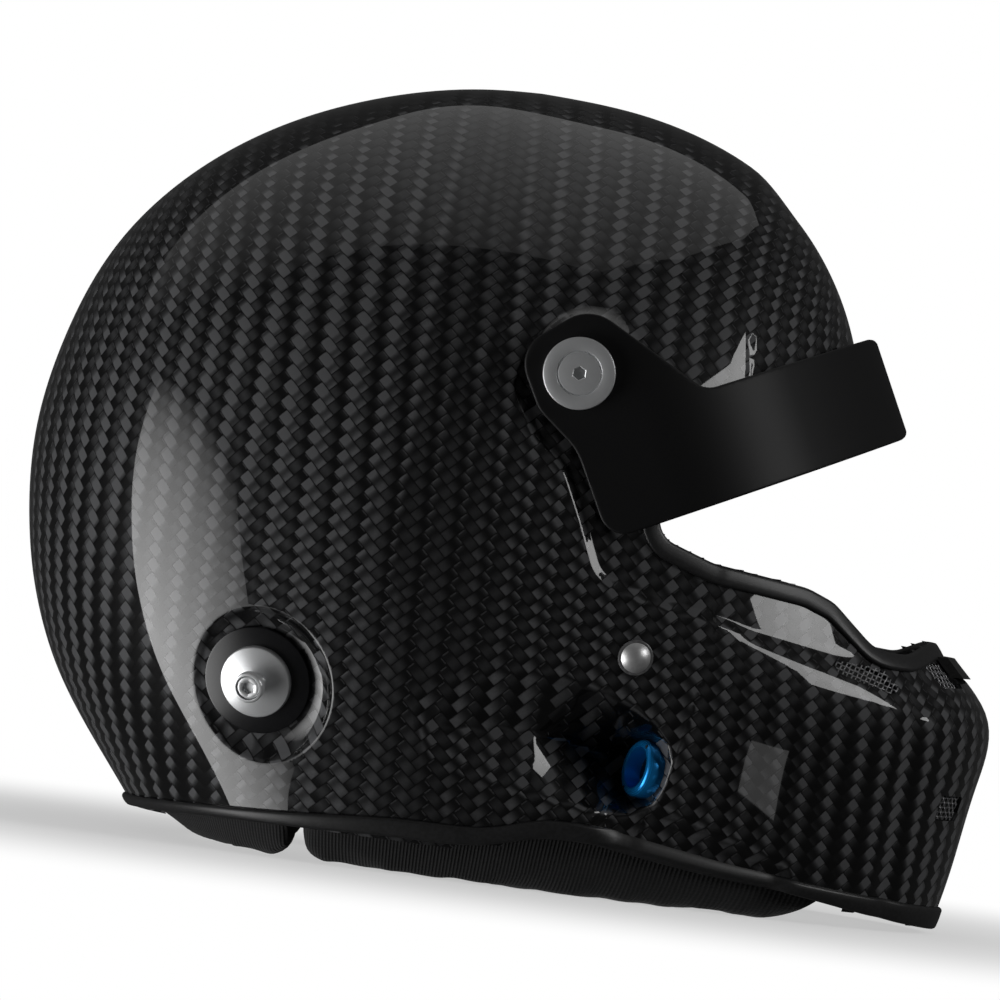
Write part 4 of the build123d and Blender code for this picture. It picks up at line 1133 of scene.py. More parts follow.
class Paint:
    """A procedural material under construction."""

    def __init__(self, name):
        self.material = bpy.data.materials.new(name)
        self.material.use_nodes = True
        self.tree = self.material.node_tree
        self.shader = self.tree.nodes["Principled BSDF"]
        self.coords = add_node(self.tree, "ShaderNodeTexCoord").outputs["Object"]

    def set(self, **values):
        for key, value in values.items():
            self.shader.inputs[key.replace("_", " ")].default_value = value
        return self

    def place(self):
        """Object coordinates in millimetres."""
        return split(self.tree, self.coords, 1 / MM)

    def scaled(self, scale):
        """Object coordinates times three numbers, for a texture node."""
        inputs = {0: self.coords, 1: scale}
        return add_node(self.tree, "ShaderNodeVectorMath", inputs, operation="MULTIPLY").outputs[0]

    def noise(self, size, detail=2.0):
        """Soft noise with features of a size in millimetres, about 0.5."""
        inputs = {"Vector": self.scaled([1 / MM / size] * 3), "Scale": 1.0, "Detail": detail}
        return Flow(self.tree, add_node(self.tree, "ShaderNodeTexNoise", inputs).outputs[0])

    def uv(self, name):
        """The first two values of a coordinate layer, in millimetres."""
        node = add_node(self.tree, "ShaderNodeUVMap", uv_map=name)
        return split(self.tree, node.outputs[0], 1 / MM)[:2]

    def vector(self, kind):
        return split(self.tree, add_node(self.tree, "ShaderNodeNewGeometry").outputs[kind])

    def colour(self, share, low, high):
        """Base colour that goes from low to high with a value from 0 to 1."""
        inputs = {"Factor": share, "A": (*low, 1), "B": (*high, 1)}
        mix = add_node(self.tree, "ShaderNodeMix", inputs, data_type="RGBA")
        self.tree.links.new(mix.outputs["Result"], self.shader.inputs["Base Color"])
        return self

    def link(self, value, name):
        self.tree.links.new(value.socket, self.shader.inputs[name])
        return self

    def bump(self, height, depth, strength=1.0):
        """Relief of a depth in millimetres."""
        inputs = {"Strength": strength, "Distance": depth * MM, "Height": height}
        node = add_node(self.tree, "ShaderNodeBump", inputs)
        self.tree.links.new(node.outputs[0], self.shader.inputs["Normal"])
        return self


def unit(x, y, z):
    size = (x * x + y * y + z * z).root().most(1e-4)
    return x / size, y / size, z / size


def dot(a, b):
    return a[0] * b[0] + a[1] * b[1] + a[2] * b[2]


def cross(a, b):
    return (
        a[1] * b[2] - a[2] * b[1],
        a[2] * b[0] - a[0] * b[2],
        a[0] * b[1] - a[1] * b[0],
    )


# Directions towards the lamps whose highlights on the woven fibres are painted into the carbon's base
# colour, each with its strength
PAINTED_SHEEN_LAMPS = (((-0.88, -0.42, 0.22), 1.0), ((0.80, -0.45, 0.40), 0.8), ((0.0, -0.2, 0.98), 0.35))
# Tow width and float bow, then the sharpness and strengths of the painted fibre highlights and painted
# glints
TOW, FLOAT_BOW, PAINTED_SHEEN_SHARPNESS, PAINTED_SHEEN_STRENGTH, PAINTED_GLINT_STRENGTH = 4.0, 0.42, 24.0, 2.6, 0.30
TURN = 2 * math.pi


def twill():
    """Places on a two by two twill at half a right angle: tow direction, place across and along it."""
    paint = Paint("woven_carbon")
    along_u, along_v = paint.uv("weave")
    a = (along_u + along_v) * (math.sqrt(0.5) / TOW)
    b = (along_v - along_u) * (math.sqrt(0.5) / TOW)
    row_a, row_b = a.floor(), b.floor()
    warp = (row_a - row_b).wrap(4.0).below(2.0)
    over = warp.pick(a - row_a, b - row_b) * 2.0 - 1.0
    run = warp.pick((b - row_a + 1.0).wrap(4.0), (a - row_b - 2.0).wrap(4.0)) - 1.0
    return paint, warp, over, run


def painted_fibre_sheen(paint, warp, run):
    """Painted highlight: how brightly the fibres would mirror the lamps, by their direction at this place
    and the view, for the base colour.
    """
    n = paint.vector("Normal")
    side = paint.place()[1].below(0.0) * 2.0 - 1.0
    flat = unit(-n[1] * side + 0.12, n[0] * side, n[0] * 0.0)
    up = [k * side for k in cross(n, flat)]
    lean = warp * -2.0 + 1.0
    bow = run * -FLOAT_BOW
    fibre = unit(*[(flat[k] * lean + up[k]) * math.sqrt(0.5) + n[k] * bow for k in range(3)])
    view = paint.vector("Incoming")
    lobes = []
    for lamp, strength in PAINTED_SHEEN_LAMPS:
        half = unit(*[view[k] + lamp[k] for k in range(3)])
        facing = (dot(n, lamp) + 0.35).most(0.0).least(1.0)
        lobes.append((1.0 - dot(fibre, half) ** 2.0).most(0.0) ** PAINTED_SHEEN_SHARPNESS * facing * strength)
    # Painted highlight: forward of the side's middle the one tow direction is painted lit, behind it the
    # other
    ahead, behind = n[0].rise(-0.02, 0.26), (-n[0]).rise(-0.02, 0.26)
    return sum(lobes[1:], lobes[0]) * warp.pick(behind * 0.86 + 0.14, ahead * 0.86 + 0.14)


def woven_carbon():
    """Carbon twill under clear lacquer, with the fibres' highlights and glints painted into its base
    colour.
    """
    paint, warp, over, run = twill()
    gap = abs(over).rise(0.80, 1.0).most(abs(run).rise(0.90, 1.0))
    grain = paint.noise(0.9, 1.0) * 0.5 + 0.75
    crown = (1.0 - over ** 4.0).most(0.0).root()
    # Painted glint: a thin light stroke near one end of each tow float, in place of its reflection
    painted_glint = run.rise(0.84, 0.90) * (1.0 - run.rise(0.97, 1.0)) * (1.0 - abs(over).rise(0.45, 0.75))
    # Painted fibre highlight, cut at the tows' gaps, rounded across each tow and mottled by grain
    glow = painted_fibre_sheen(paint, warp, run) * PAINTED_SHEEN_STRENGTH * (1.0 - gap * 0.8) * crown * grain
    shade = (glow + painted_glint * PAINTED_GLINT_STRENGTH).least(1.6)
    # Base colour runs from the fibre's own near-black up to a painted highlight grey
    paint.colour(shade, (0.0015, 0.0015, 0.0017), (0.105, 0.106, 0.110))
    paint.set(Metallic=0.0, Roughness=0.5, Specular_IOR_Level=0.06)
    paint.set(Coat_Weight=1.0, Coat_Roughness=0.02, Coat_IOR=1.5)
    relief = (1.0 - over * over).most(0.0).root() * (1.0 - run * run * 0.55)
    paint.bump(relief, 0.12, 0.9)
    return paint.material


def speckled(name, low, high, roughness, size=0.6, relief=0.03, metallic=0.0, **more):
    """A plain finish with a fine grain."""
    paint = Paint(name)
    grain = paint.noise(size)
    paint.colour(grain.rise(0.3, 0.7), low, high)
    paint.set(Roughness=roughness, Metallic=metallic, **more)
    if relief:
        paint.bump(grain, relief, 0.5)
    return paint.material


def turned_metal(name, tint, centre, axis, roughness=0.3, ring=0.35, metallic=1.0):
    """Machined metal with fine rings round its axis, on both sides of the middle plane."""
    paint = Paint(name)
    x, y, z = paint.place()
    off = [x - float(centre[0]), -abs(y) - float(centre[1]), z - float(centre[2])]
    high = dot(off, [float(k) for k in axis])
    radius = (dot(off, off) - high * high).most(0.0).root()
    rings = (radius * (TURN / ring)).wave()
    cloud = paint.noise(3.0)
    paint.colour(rings * 0.4 + cloud * 0.6, [k * 0.86 for k in tint], tint)
    paint.link(rings * 0.08 + roughness, "Roughness")
    paint.set(Metallic=metallic)
    paint.bump(rings, 0.012, 0.5)
    return paint.material


def knitted(name, low, high):
    """Rib-knit cloth: fine upright ribs with faint stitches, round an axis in the neck."""
    paint = Paint(name)
    x, y, z = paint.place()
    neck_axis, neck_radius, rib, stitch = -20.0, 105.0, 1.25, 1.1
    ribs = (y.math("ARCTAN2", x - neck_axis) * (neck_radius / rib * TURN)).wave()
    loops = (z * (TURN / stitch) + ribs * 2.2).wave()
    height = ribs * 0.85 + loops * 0.15
    fuzz = paint.noise(0.5)
    cloud = paint.noise(9.0)
    # Partly painted shade: the colour follows the rib and stitch relief, darker in its hollows; fuzz and
    # cloud are the yarn's own tone
    paint.colour((height * 0.7 + fuzz * 0.25 + cloud * 0.15).least(1.0), low, high)
    paint.set(Roughness=0.95, Sheen_Weight=0.12, Sheen_Roughness=0.6, Specular_IOR_Level=0.1)
    paint.bump(height + fuzz * 0.2, 0.35, 0.8)
    return paint.material


def beaded_foam(name, low, high, beads_per_metre=330.0):
    """Moulded bead foam."""
    paint = Paint(name)
    inputs = {"Vector": paint.scaled([beads_per_metre] * 3), "Scale": 1.0}
    cell = add_node(paint.tree, "ShaderNodeTexVoronoi", inputs)
    gap = Flow(paint.tree, cell.outputs["Distance"])
    # Painted shade: each bead darker towards its edges, following the same relief as the bump
    paint.colour(gap.rise(0.1, 0.7), high, low)
    paint.set(Roughness=0.85)
    paint.bump(-gap, 0.35, 0.7)
    return paint.material


def webbing(name, low, high, lane_width=3.4, pitch=1.6):
    """Flat woven strap with chevron ribs."""
    paint = Paint(name)
    x, y, z = paint.place()
    lane = (x * (1.0 / lane_width)).wrap(1.0) - 0.5
    ridge = ((y + z + abs(lane) * 3.0) * (TURN / pitch)).wave()
    fuzz = paint.noise(0.4)
    # Partly painted shade: the colour follows the rib relief, darker between the ribs; the fuzz is the
    # strap's own tone
    paint.colour((ridge * 0.8 + fuzz * 0.3).least(1.0), low, high)
    paint.set(Roughness=0.75, Sheen_Weight=0.1)
    paint.bump(ridge, 0.25, 0.8)
    return paint.material


def give(piece, material, body="helmet", slot=None, replaces=()):
    """Dresses a finished piece, hangs it on the body it rides and hides the solids it stands for."""
    piece.data.materials.clear()
    piece.data.materials.append(material)
    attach(piece, body)
    if replaces:
        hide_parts(*replaces)
    return piece


def side_reach(x, height):
    """Distance of the plain form's side from the middle plane."""
    share = height / HEIGHT
    rear, front, half = (np.interp(share, [r[0] for r in RINGS], [r[k] for r in RINGS]) for k in (1, 2, 3))
    reach = (front if x > MIDDLE else rear) * LENGTH - MIDDLE
    part = abs((x - MIDDLE) / reach)
    return half * WIDTH * (1 - part**POWER) ** (1 / POWER)


def front_place(y, z):
    """Place on the front of the right side from its front view."""
    row = np.interp(z, ROW_Z, np.arange(UP))
    low = min(int(row), UP - 2)
    ring = TABLE[low] * (1 - row + low) + TABLE[low + 1] * (row - low)
    half = ACROSS // 2
    u = np.interp(-abs(y), ring[half:, 1], np.linspace(0, 1, ACROSS)[half:])
    return u, row / (UP - 1)


def closed_bar(name, path, radius, up, segments=14):
    """A round bar along a closed path."""
    path = np.array(path, float)
    along = unit_rows(np.roll(path, -1, 0) - np.roll(path, 1, 0))
    points = []
    for p, way in zip(path, along):
        side = unit_rows(np.cross(way, up))
        rise = np.cross(side, way)
        for k in range(segments):
            a = TURN * k / segments
            points.append(p + radius * (side * math.cos(a) + rise * math.sin(a)))
    made = mesh_object(name, points, band_faces(len(path), segments, closed=True))
    fix_winding(made)
    return made


def strip(name, path, width, thick):
    """A flat strap along a path across the helmet, with rounded edges."""
    across = np.array((1.0, 0, 0))
    path = np.array(path, float)
    along = unit_rows(np.gradient(path, axis=0))
    half, deep = width / 2, thick / 2
    section = []
    for start, ahead in ((-90, 1), (90, -1)):
        for r in np.radians(np.linspace(start, start + 180, 5)):
            section.append((ahead * (half - deep) + deep * math.cos(r), deep * math.sin(r)))
        section += [(ahead * half * s, ahead * deep) for s in (0.6, 0.3, 0.0, -0.3, -0.6)]
    count, total = len(section), len(path)
    points = []
    for p, way in zip(path, along):
        out = np.cross(across, way)
        for a, b in section:
            points.append(p + across * a + out * b)
    faces = band_faces(total, count)
    faces.append(tuple(range(count)))
    faces.append(tuple((total - 1) * count + i for i in reversed(range(count))))
    made = mesh_object(name, points, faces)
    fix_winding(made)
    made.data.set_sharp_from_angle(angle=math.radians(60))
    return made


def bake(made):
    """Turns the modifiers into the mesh itself."""
    bpy.context.view_layer.update()
    final = bpy.data.meshes.new_from_object(made.evaluated_get(bpy.context.evaluated_depsgraph_get()))
    made.modifiers.clear()
    made.data = final


# Wire meshes: the wires' lines are laid on the shell's form and a node tree makes them round
def wire_tree(material):
    """Node tree that turns lines into round wires; its inputs are the wire's radius and its sides."""
    tree = bpy.data.node_groups.new("round_wires", "GeometryNodeTree")
    face = tree.interface
    face.new_socket("Geometry", in_out="INPUT", socket_type="NodeSocketGeometry")
    size = face.new_socket("Wire radius", in_out="INPUT", socket_type="NodeSocketFloat")
    sides = face.new_socket("Wire sides", in_out="INPUT", socket_type="NodeSocketInt")
    face.new_socket("Geometry", in_out="OUTPUT", socket_type="NodeSocketGeometry")
    add = tree.nodes.new
    enter, leave = add("NodeGroupInput"), add("NodeGroupOutput")
    curve = add("GeometryNodeMeshToCurve")
    ring = add("GeometryNodeCurvePrimitiveCircle")
    body = add("GeometryNodeCurveToMesh")
    real = add("GeometryNodeRealizeInstances")
    paint = add("GeometryNodeSetMaterial")
    paint.inputs["Material"].default_value = material
    body.inputs["Fill Caps"].default_value = True
    link = tree.links.new
    link(enter.outputs[0], curve.inputs["Mesh"])
    link(enter.outputs[1], ring.inputs["Radius"])
    link(enter.outputs[2], ring.inputs["Resolution"])
    link(curve.outputs[0], body.inputs["Curve"])
    link(ring.outputs[0], body.inputs["Profile Curve"])
    link(body.outputs[0], real.inputs[0])
    link(real.outputs[0], paint.inputs["Geometry"])
    link(paint.outputs[0], leave.inputs[0])
    return tree, size.identifier, sides.identifier


def wires(name, lines, tree, radius, sides=6):
    """Round wires along lines, as one plain mesh."""
    tree, size_key, sides_key = tree
    points, edges = [], []
    for line in lines:
        start = len(points)
        points += [tuple(np.array(p) * MM) for p in line]
        edges += [(start + k, start + k + 1) for k in range(len(line) - 1)]
    mesh = bpy.data.meshes.new(name + "_lines")
    mesh.from_pydata(points, edges, [])
    made = bpy.data.objects.new(name, mesh)
    bpy.context.scene.collection.objects.link(made)
    way = made.modifiers.new("wires", "NODES")
    way.node_group = tree
    way[size_key] = radius * MM
    way[sides_key] = sides
    bake(made)
    made.data.polygons.foreach_set("use_smooth", [True] * len(made.data.polygons))
    return made


WIRE_PITCH, WIRE_RADIUS, WIRE_WAVE = 1.7, 0.27, 0.22
SIDE_VENT_CENTRE, SIDE_VENT_SLOPE = np.array((0.364 * LENGTH, 0.3175 * HEIGHT)), math.radians(-18)


def vent_lines(which, pitch, depth):
    """Crossing wire lines inside one vent of the right side."""
    lines = []
    if which == "side":
        centre, slope, reach = SIDE_VENT_CENTRE, SIDE_VENT_SLOPE, (18.0, 12.0)
    else:
        centre = np.array((-FRONT_VENT_Y, FRONT_VENT_HEIGHT[which]))
        slope, reach = 0.0, (9.0, 6.0)
    along = np.array((math.cos(slope), math.sin(slope)))
    rise = np.array((-math.sin(slope), math.cos(slope)))
    for way, other, far, wide in ((along, rise, reach[0], reach[1]), (rise, along, reach[1], reach[0])):
        rows = int(wide / pitch)
        for number, row in enumerate(np.arange(-rows, rows + 1) * pitch):
            line = []
            for s in np.arange(-far, far, pitch / 4):
                spot = centre + way * s + other * row
                if which == "side":
                    u, t = side_place(spot[0], spot[1])
                else:
                    u, t = front_place(spot[0], spot[1])
                    u, t = np.array([u]), np.array([t])
                p = look_up(TABLE, u, t)
                n = look_up(TABLE_OUT, u, t)[0]
                if vent_distance(p, which)[0] < -0.1:
                    wave = math.sin(s / pitch * math.pi) * (1 if number % 2 else -1)
                    wave *= 1 if way is along else -1
                    line.append(p[0] - n * (depth + wave * WIRE_WAVE))
                elif len(line) > 1:
                    break
            if len(line) > 2:
                lines.append(line)
    return lines


# Padded pieces: the solid's surface is laid out afresh and filled like a stuffed cover
COVER_GRID, COVER_SWELL, COVER_FRAMES = 4.5, 1.2, 20


def cloth_cover(made, rest, pressure):
    """Blows a cover up a little on the side that faces the head; its back stays where it rests."""
    normals = np.array([v.normal for v in made.data.vertices], float)
    centre = np.array((-0.02, 0.0, min(0.13, rest[:, 2].mean())))
    away = unit_rows(rest - centre)
    outer = np.sum(normals * away, 1) > 0.45
    group = made.vertex_groups.new(name="held")
    group.add([int(k) for k in np.flatnonzero(outer)], 1.0, "REPLACE")
    cloth = made.modifiers.new("cover", "CLOTH")
    settings = cloth.settings
    settings.quality = 4
    settings.mass = 0.25
    settings.tension_stiffness = settings.compression_stiffness = 18
    settings.shear_stiffness = 8
    settings.bending_stiffness = 1.2
    settings.use_pressure = True
    settings.uniform_pressure_force = pressure
    settings.vertex_group_mass = "held"
    settings.effector_weights.gravity = 0.0
    settings.shrink_min = -0.02
    cloth.point_cache.frame_start, cloth.point_cache.frame_end = 1, COVER_FRAMES
    scene = bpy.context.scene
    for number in range(1, COVER_FRAMES + 1):
        scene.frame_set(number)
    bake(made)
    scene.frame_set(1)
    moved = np.array([v.co for v in made.data.vertices], float) - rest
    size = np.linalg.norm(moved, axis=1, keepdims=True)
    limit = np.where(outer[:, None], 0.0, COVER_SWELL * MM)
    moved *= np.minimum(1.0, limit / np.maximum(size, 1e-9))
    made.data.vertices.foreach_set("co", (rest + moved).astype(np.float32).ravel())
    made.vertex_groups.clear()


def padded_piece(node, name, material, pressure):
    """A stuffed cover in place of a soft solid."""
    source = nodes[node]
    made = bpy.data.objects.new(name, source.data.copy())
    bpy.context.scene.collection.objects.link(made)
    bpy.context.view_layer.objects.active = made
    grid = made.modifiers.new("grid", "REMESH")
    grid.mode = "VOXEL"
    grid.voxel_size = COVER_GRID * MM
    grid.use_smooth_shade = True
    bake(made)
    rest = np.array([v.co for v in made.data.vertices], float)
    cloth_cover(made, rest, pressure)
    round_off = made.modifiers.new("round", "SUBSURF")
    round_off.levels = round_off.render_levels = 1
    bake(made)
    made.data.polygons.foreach_set("use_smooth", [True] * len(made.data.polygons))
    give(made, material, slot="lining", replaces=[node])
    return made


def eased_edges(node, material, width):
    """A CAD piece shown as it is, with its edges eased."""
    piece = nodes[node]
    edge = piece.modifiers.new("edges", "BEVEL")
    edge.width = width * MM
    edge.segments = 2
    edge.limit_method = "ANGLE"
    edge.angle_limit = math.radians(50)
    piece.data.materials.clear()
    piece.data.materials.append(material)
    return piece


# Finishes
carbon = woven_carbon()
rubber = speckled("trim_rubber", (0.012, 0.012, 0.012), (0.020, 0.020, 0.021), 0.42, 1.2, 0.02)
resin = speckled("bare_laminate", (0.012, 0.012, 0.012), (0.03, 0.03, 0.03), 0.7, 2.0, 0.1)
matte = speckled(
    "peak_plastic", (0.0045, 0.0045, 0.0048), (0.0070, 0.0070, 0.0075), 0.5, 0.35, 0.012,
    Specular_IOR_Level=0.22,
)
cover_plastic = speckled("cover_plastic", (0.010, 0.010, 0.010), (0.022, 0.022, 0.022), 0.55, 0.9, 0.12)
gloss_black = speckled("black_plate", (0.006, 0.006, 0.007), (0.008, 0.008, 0.009), 0.22, 2.0, 0.0)
black_wire = speckled("mesh_wire", (0.16, 0.16, 0.165), (0.34, 0.34, 0.35), 0.34, 0.5, 0.01, 0.7)
pale_plastic = speckled("washer_plastic", (0.10, 0.10, 0.10), (0.16, 0.16, 0.165), 0.3, 1.0, 0.0)
# Painted shade: near-black for the spanner holes, which are pins on the ring's face, not hollows
painted_hole_shade = speckled("painted_hole_shade", (0.003, 0.003, 0.003), (0.005, 0.005, 0.005), 0.8, 1.0, 0.0)
steel = speckled("steel", (0.62, 0.62, 0.62), (0.70, 0.70, 0.70), 0.42, 1.5, 0.006, 0.75)
brass = speckled("brass_insert", (0.55, 0.40, 0.16), (0.62, 0.46, 0.20), 0.35, 1.0, 0.01, 1.0)
hub_face = (PIVOT[0], -120.0, PIVOT[2])
bright_screw = turned_metal(
    "screw_alloy", (0.78, 0.79, 0.80), hub_face, (0, -1, 0), 0.30, metallic=0.62
)
bright_post = turned_metal("post_alloy", (0.80, 0.81, 0.82), ANCHOR, ANCHOR_OUT, 0.27, metallic=0.62)
blue = turned_metal("blue_alloy", (0.010, 0.33, 0.88), PORT, PORT_OUT, 0.20, 0.5, metallic=0.6)
knit = knitted("rib_knit", (0.004, 0.004, 0.004), (0.030, 0.030, 0.031))
foam = beaded_foam("liner_foam", (0.012, 0.012, 0.013), (0.05, 0.05, 0.052))
web = webbing("strap_webbing", (0.005, 0.005, 0.005), (0.032, 0.032, 0.033))

# Shell and its trims
shell = give(make_shell(), carbon, slot="carbon", replaces=["outer_shell"])
give(make_shell_inside(), resin, slot="carbon")
eye_rubber, base_rubber = make_trims()
give(eye_rubber, rubber, slot="trim_rubber", replaces=["eyeport_trim"])
give(base_rubber, rubber, slot="trim_rubber", replaces=["base_trim"])
eased_edges("chin_vent_cover", cover_plastic, 0.7)


def turned_pair(name, rows, home, axis, ahead, sides, material, slot, node=None):
    """A turned piece on each side of the helmet, in place of the solids of that name."""
    for piece, side in zip(lathe(name, rows, home, axis, ahead, sides), ("right", "left")):
        give(piece, material, slot=slot, replaces=[f"{node}_{side}"] if node else ())


# Peak and its hardware. Rows of turned pieces are radius and height; a 6 makes a row six-sided
DISC = 12.7
give(make_peak(), matte, "peak", "peak_plastic", ["peak"])
OUT, AHEAD = (0, -1, 0), (1, 0, 0)
hub = (PIVOT[0], 0.0, PIVOT[2])
screw_rows = [
    (0, 108.25), (2.6, 108.25), (3.0, 108.7), (3.0, 122.3), (12.2, 122.3), (DISC, 122.8), (DISC, 125.0),
    (12.55, 125.45), (12.1, 125.7), (8.35, 125.7), (8.1, 125.6), (8.0, 125.2), (7.7, 125.0), (7.4, 125.2),
    (7.3, 125.45), (7.0, 125.55), (2.3, 125.55, 6), (2.0, 125.3, 6), (2.0, 123.0, 6), (0, 122.8),
]
washer_rows = [(3.3, 118.9), (11.0, 118.9), (11.0, 119.7), (3.3, 119.7)]
insert_rows = [(3.1, 108.3), (4.8, 108.3), (4.8, 118.6), (4.6, BOSS_FACE), (3.1, BOSS_FACE)]
for name, rows, paint, key, node, sides in (
    ("peak_screw_disc", screw_rows, bright_screw, "screw_steel", "peak_screw", 96),
    ("slip_washer", washer_rows, pale_plastic, "washer_plastic", "peak_washer", 96),
    ("threaded_insert", insert_rows, brass, "brass_insert", "peak_insert", 48),
):
    turned_pair(name, rows, hub, OUT, AHEAD, sides, paint, key, node)

# Head restraint anchors
seat = ANCHOR - ANCHOR_OUT * DISH_DEPTH
level = (-ANCHOR_OUT[1], ANCHOR_OUT[0], 0)
plate_rows = [
    (5.9, 0.1), (18.9, 0.1), (19.3, 0.4), (19.3, 1.4), (19.1, 1.75), (18.7, 1.9), (5.9, 1.9),
]
post_rows = [
    (3.1, 0.1), (5.8, 0.1), (5.8, 2.0), (12.5, 2.0), (DISC, 2.2), (DISC, 4.1), (12.5, 4.55), (12.0, 4.8),
    (4.7, 4.8), (4.0, 5.1), (3.7, 5.8), (3.7, 8.9), (5.0, 9.4), (5.4, 9.7), (5.4, 12.1), (5.2, 12.45),
    (4.8, 12.6), (4.4, 12.6), (4.3, 12.4), (4.3, 9.9), (3.1, 9.9),
]
bolt_rows = [
    (0, -9.7), (2.6, -9.7), (3.0, -9.3), (3.0, 10.0), (3.9, 10.0), (4.1, 10.2), (4.1, 11.8), (3.9, 12.1),
    (3.6, 12.2), (2.3, 12.2, 6), (2.0, 12.0, 6), (2.0, 10.4, 6), (0, 10.2),
]
nut_rows = [
    (3.1, -2.7), (11.0, -2.7), (11.0, -4.3), (5.6, -4.3, 6), (5.5, -4.5, 6), (5.5, -9.6, 6), (3.1, -9.7),
]
for name, rows, paint, key, node, sides in (
    ("anchor_plate", plate_rows, gloss_black, "black_plate", "anchor_ring", 128),
    ("anchor_stud", post_rows, bright_post, "steel", "anchor_post", 96),
    ("anchor_bolt", bolt_rows, bright_post, "screw_steel", "anchor_screw", 72),
    ("anchor_inner_nut", nut_rows, steel, "screw_steel", "anchor_nut", 72),
):
    turned_pair(name, rows, seat, ANCHOR_OUT, level, sides, paint, key, node)

# Chin strap rivets with their collars, which follow the shell's lean
RIVET_AHEAD, RIVET_DIP = math.radians(14), math.radians(-7.5)
DOME_RADIUS, DOME_TOP, DOME_ANGLE = 6.70, 3.9, 52.3
rivet_out = np.array((
    math.sin(RIVET_AHEAD) * math.cos(RIVET_DIP),
    -math.cos(RIVET_AHEAD) * math.cos(RIVET_DIP),
    math.sin(RIVET_DIP),
))
rivet_seat = np.array((RIVET[0], -side_reach(RIVET[0], RIVET[2]), RIVET[2]))
rivet_level = (-rivet_out[1], rivet_out[0], 0)
rivet_rows = [(0, -7.1), (4.6, -7.1), (5.0, -6.9), (5.0, -5.6), (2.5, -5.4), (2.5, 1.2), (5.25, 1.2)]
for a in np.radians(np.linspace(DOME_ANGLE, 0, 9)):
    rivet_rows.append((DOME_RADIUS * math.sin(a), DOME_TOP - DOME_RADIUS * (1 - math.cos(a))))
collar_rows = [(2.7, 0.5), (6.1, 0.5), (6.3, 0.7), (6.3, 1.0), (6.05, 1.2), (5.3, 1.25), (2.7, 1.25)]
turned_pair("strap_stud", rivet_rows, rivet_seat, rivet_out, rivet_level, 96, steel, "steel", "strap_rivet")
turned_pair(
    "strap_stud_collar", collar_rows, rivet_seat, rivet_out, rivet_level, 96, pale_plastic, "washer_plastic"
)
for side in ("right", "left"):
    eased_edges(f"strap_plate_{side}", steel, 0.3)

# Ports, with two spanner holes in each ring's face, made as near-black pins whose colour is painted shade
# in place of hollows
port_rows = [
    (7.3, -7.5), (8.7, -7.5), (8.7, 0.1), (10.1, 0.1), (10.25, 0.3), (10.25, 5.1), (10.0, 5.7), (9.4, 6.25),
    (8.8, 6.5), (7.9, 6.5), (7.5, 6.35), (7.3, 6.0),
]
ring_nut_rows = [(8.8, -2.7), (9.8, -2.7), (9.8, -6.1), (8.8, -6.1)]
hole_rows = [(0, 5.2), (0.7, 5.2), (0.7, 6.53), (0, 6.53)]
hole_circle, hole_turns = 8.8, (60, 240)
port_rings = (PORT, PORT_OUT, PORT_LEVEL)
turned_pair("port_bush", port_rows, *port_rings, 112, blue, "blue_aluminium", "port_ring")
turned_pair("port_ring_nut", ring_nut_rows, *port_rings, 96, blue, "blue_aluminium", "port_nut")
for number, turn in enumerate(hole_turns):
    a = math.radians(turn)
    spot = PORT + hole_circle * (PORT_LEVEL * math.cos(a) + PORT_UP * math.sin(a))
    turned_pair(
        f"spanner_hole_{number}", hole_rows, spot, PORT_OUT, PORT_LEVEL, 20, painted_hole_shade, "blue_aluminium"
    )

# Vent meshes
tree = wire_tree(black_wire)
for which, depth, node, name in (
    ("side", 1.3, "side_vent_mesh", "side_vent_wires"),
    ("upper", 2.3, "chin_mesh_upper", "upper_vent_wires"),
    ("lower", 1.3, "chin_mesh_lower", "lower_vent_wires"),
):
    lines = vent_lines(which, WIRE_PITCH, depth)
    for side, flip in (("right", 1), ("left", -1)):
        turned = [[p * (1, flip, 1) for p in line] for line in lines]
        piece = wires(f"{name}_{side}", turned, tree, WIRE_RADIUS)
        give(piece, black_wire, slot="mesh", replaces=[f"{node}_{side}"])

# Liners and pads
for node in sorted(name for name in nodes if "liner" in name):
    eased_edges(node, foam, 0.8)
for start, fill, pressure in (("cheek_pad", 0.7, 3.0), ("neck_roll", 0.6, 4.0), ("crown_pad", 0.5, 3.0)):
    for node in sorted(name for name in nodes if name.startswith(start)):
        padded_piece(node, node + "_cover", knit, pressure)

# Chin strap, its side webs, rings and snap
STRAP_WIDTH, TAIL_WIDTH, LOOP_THICK, TAIL_THICK, SIDE_THICK = 20.0, 19.4, 2.1, 1.9, 2.0
STRAP_X, STRAP_Z, STRAP_FOOT = RIVET[0], 0.279 * HEIGHT, 0.052 * HEIGHT
STRAP_HALF, STRAP_CORNER, STRAP_CORE, STRAP_HEAD = 52.6, 20.0, 1.1, 1.6
TAIL_HALF, TAIL_LIFT, TAIL_SAG, TAIL_WAVE = 26.5, 3.35, 0.25, 9.0
SIDE_START, SIDE_SAG, SIDE_WAVE, SIDE_PHASE, PLATE_SETBACK = 53.2, 0.35, 7.0, 53.0, 5.8
SNAP_Y, SNAP_LIFT = -14.0, 4.4
RING_LONG, RING_HIGH, RING_WIRE, RING_BOW, RING_CORNER = 27.5, 19.0, 1.2, 7.0, 1.5
RING_Y, RING_STEP, RING_LIFT, RING_LEAN = 14.0, 8.0, 2.2, math.radians(35)


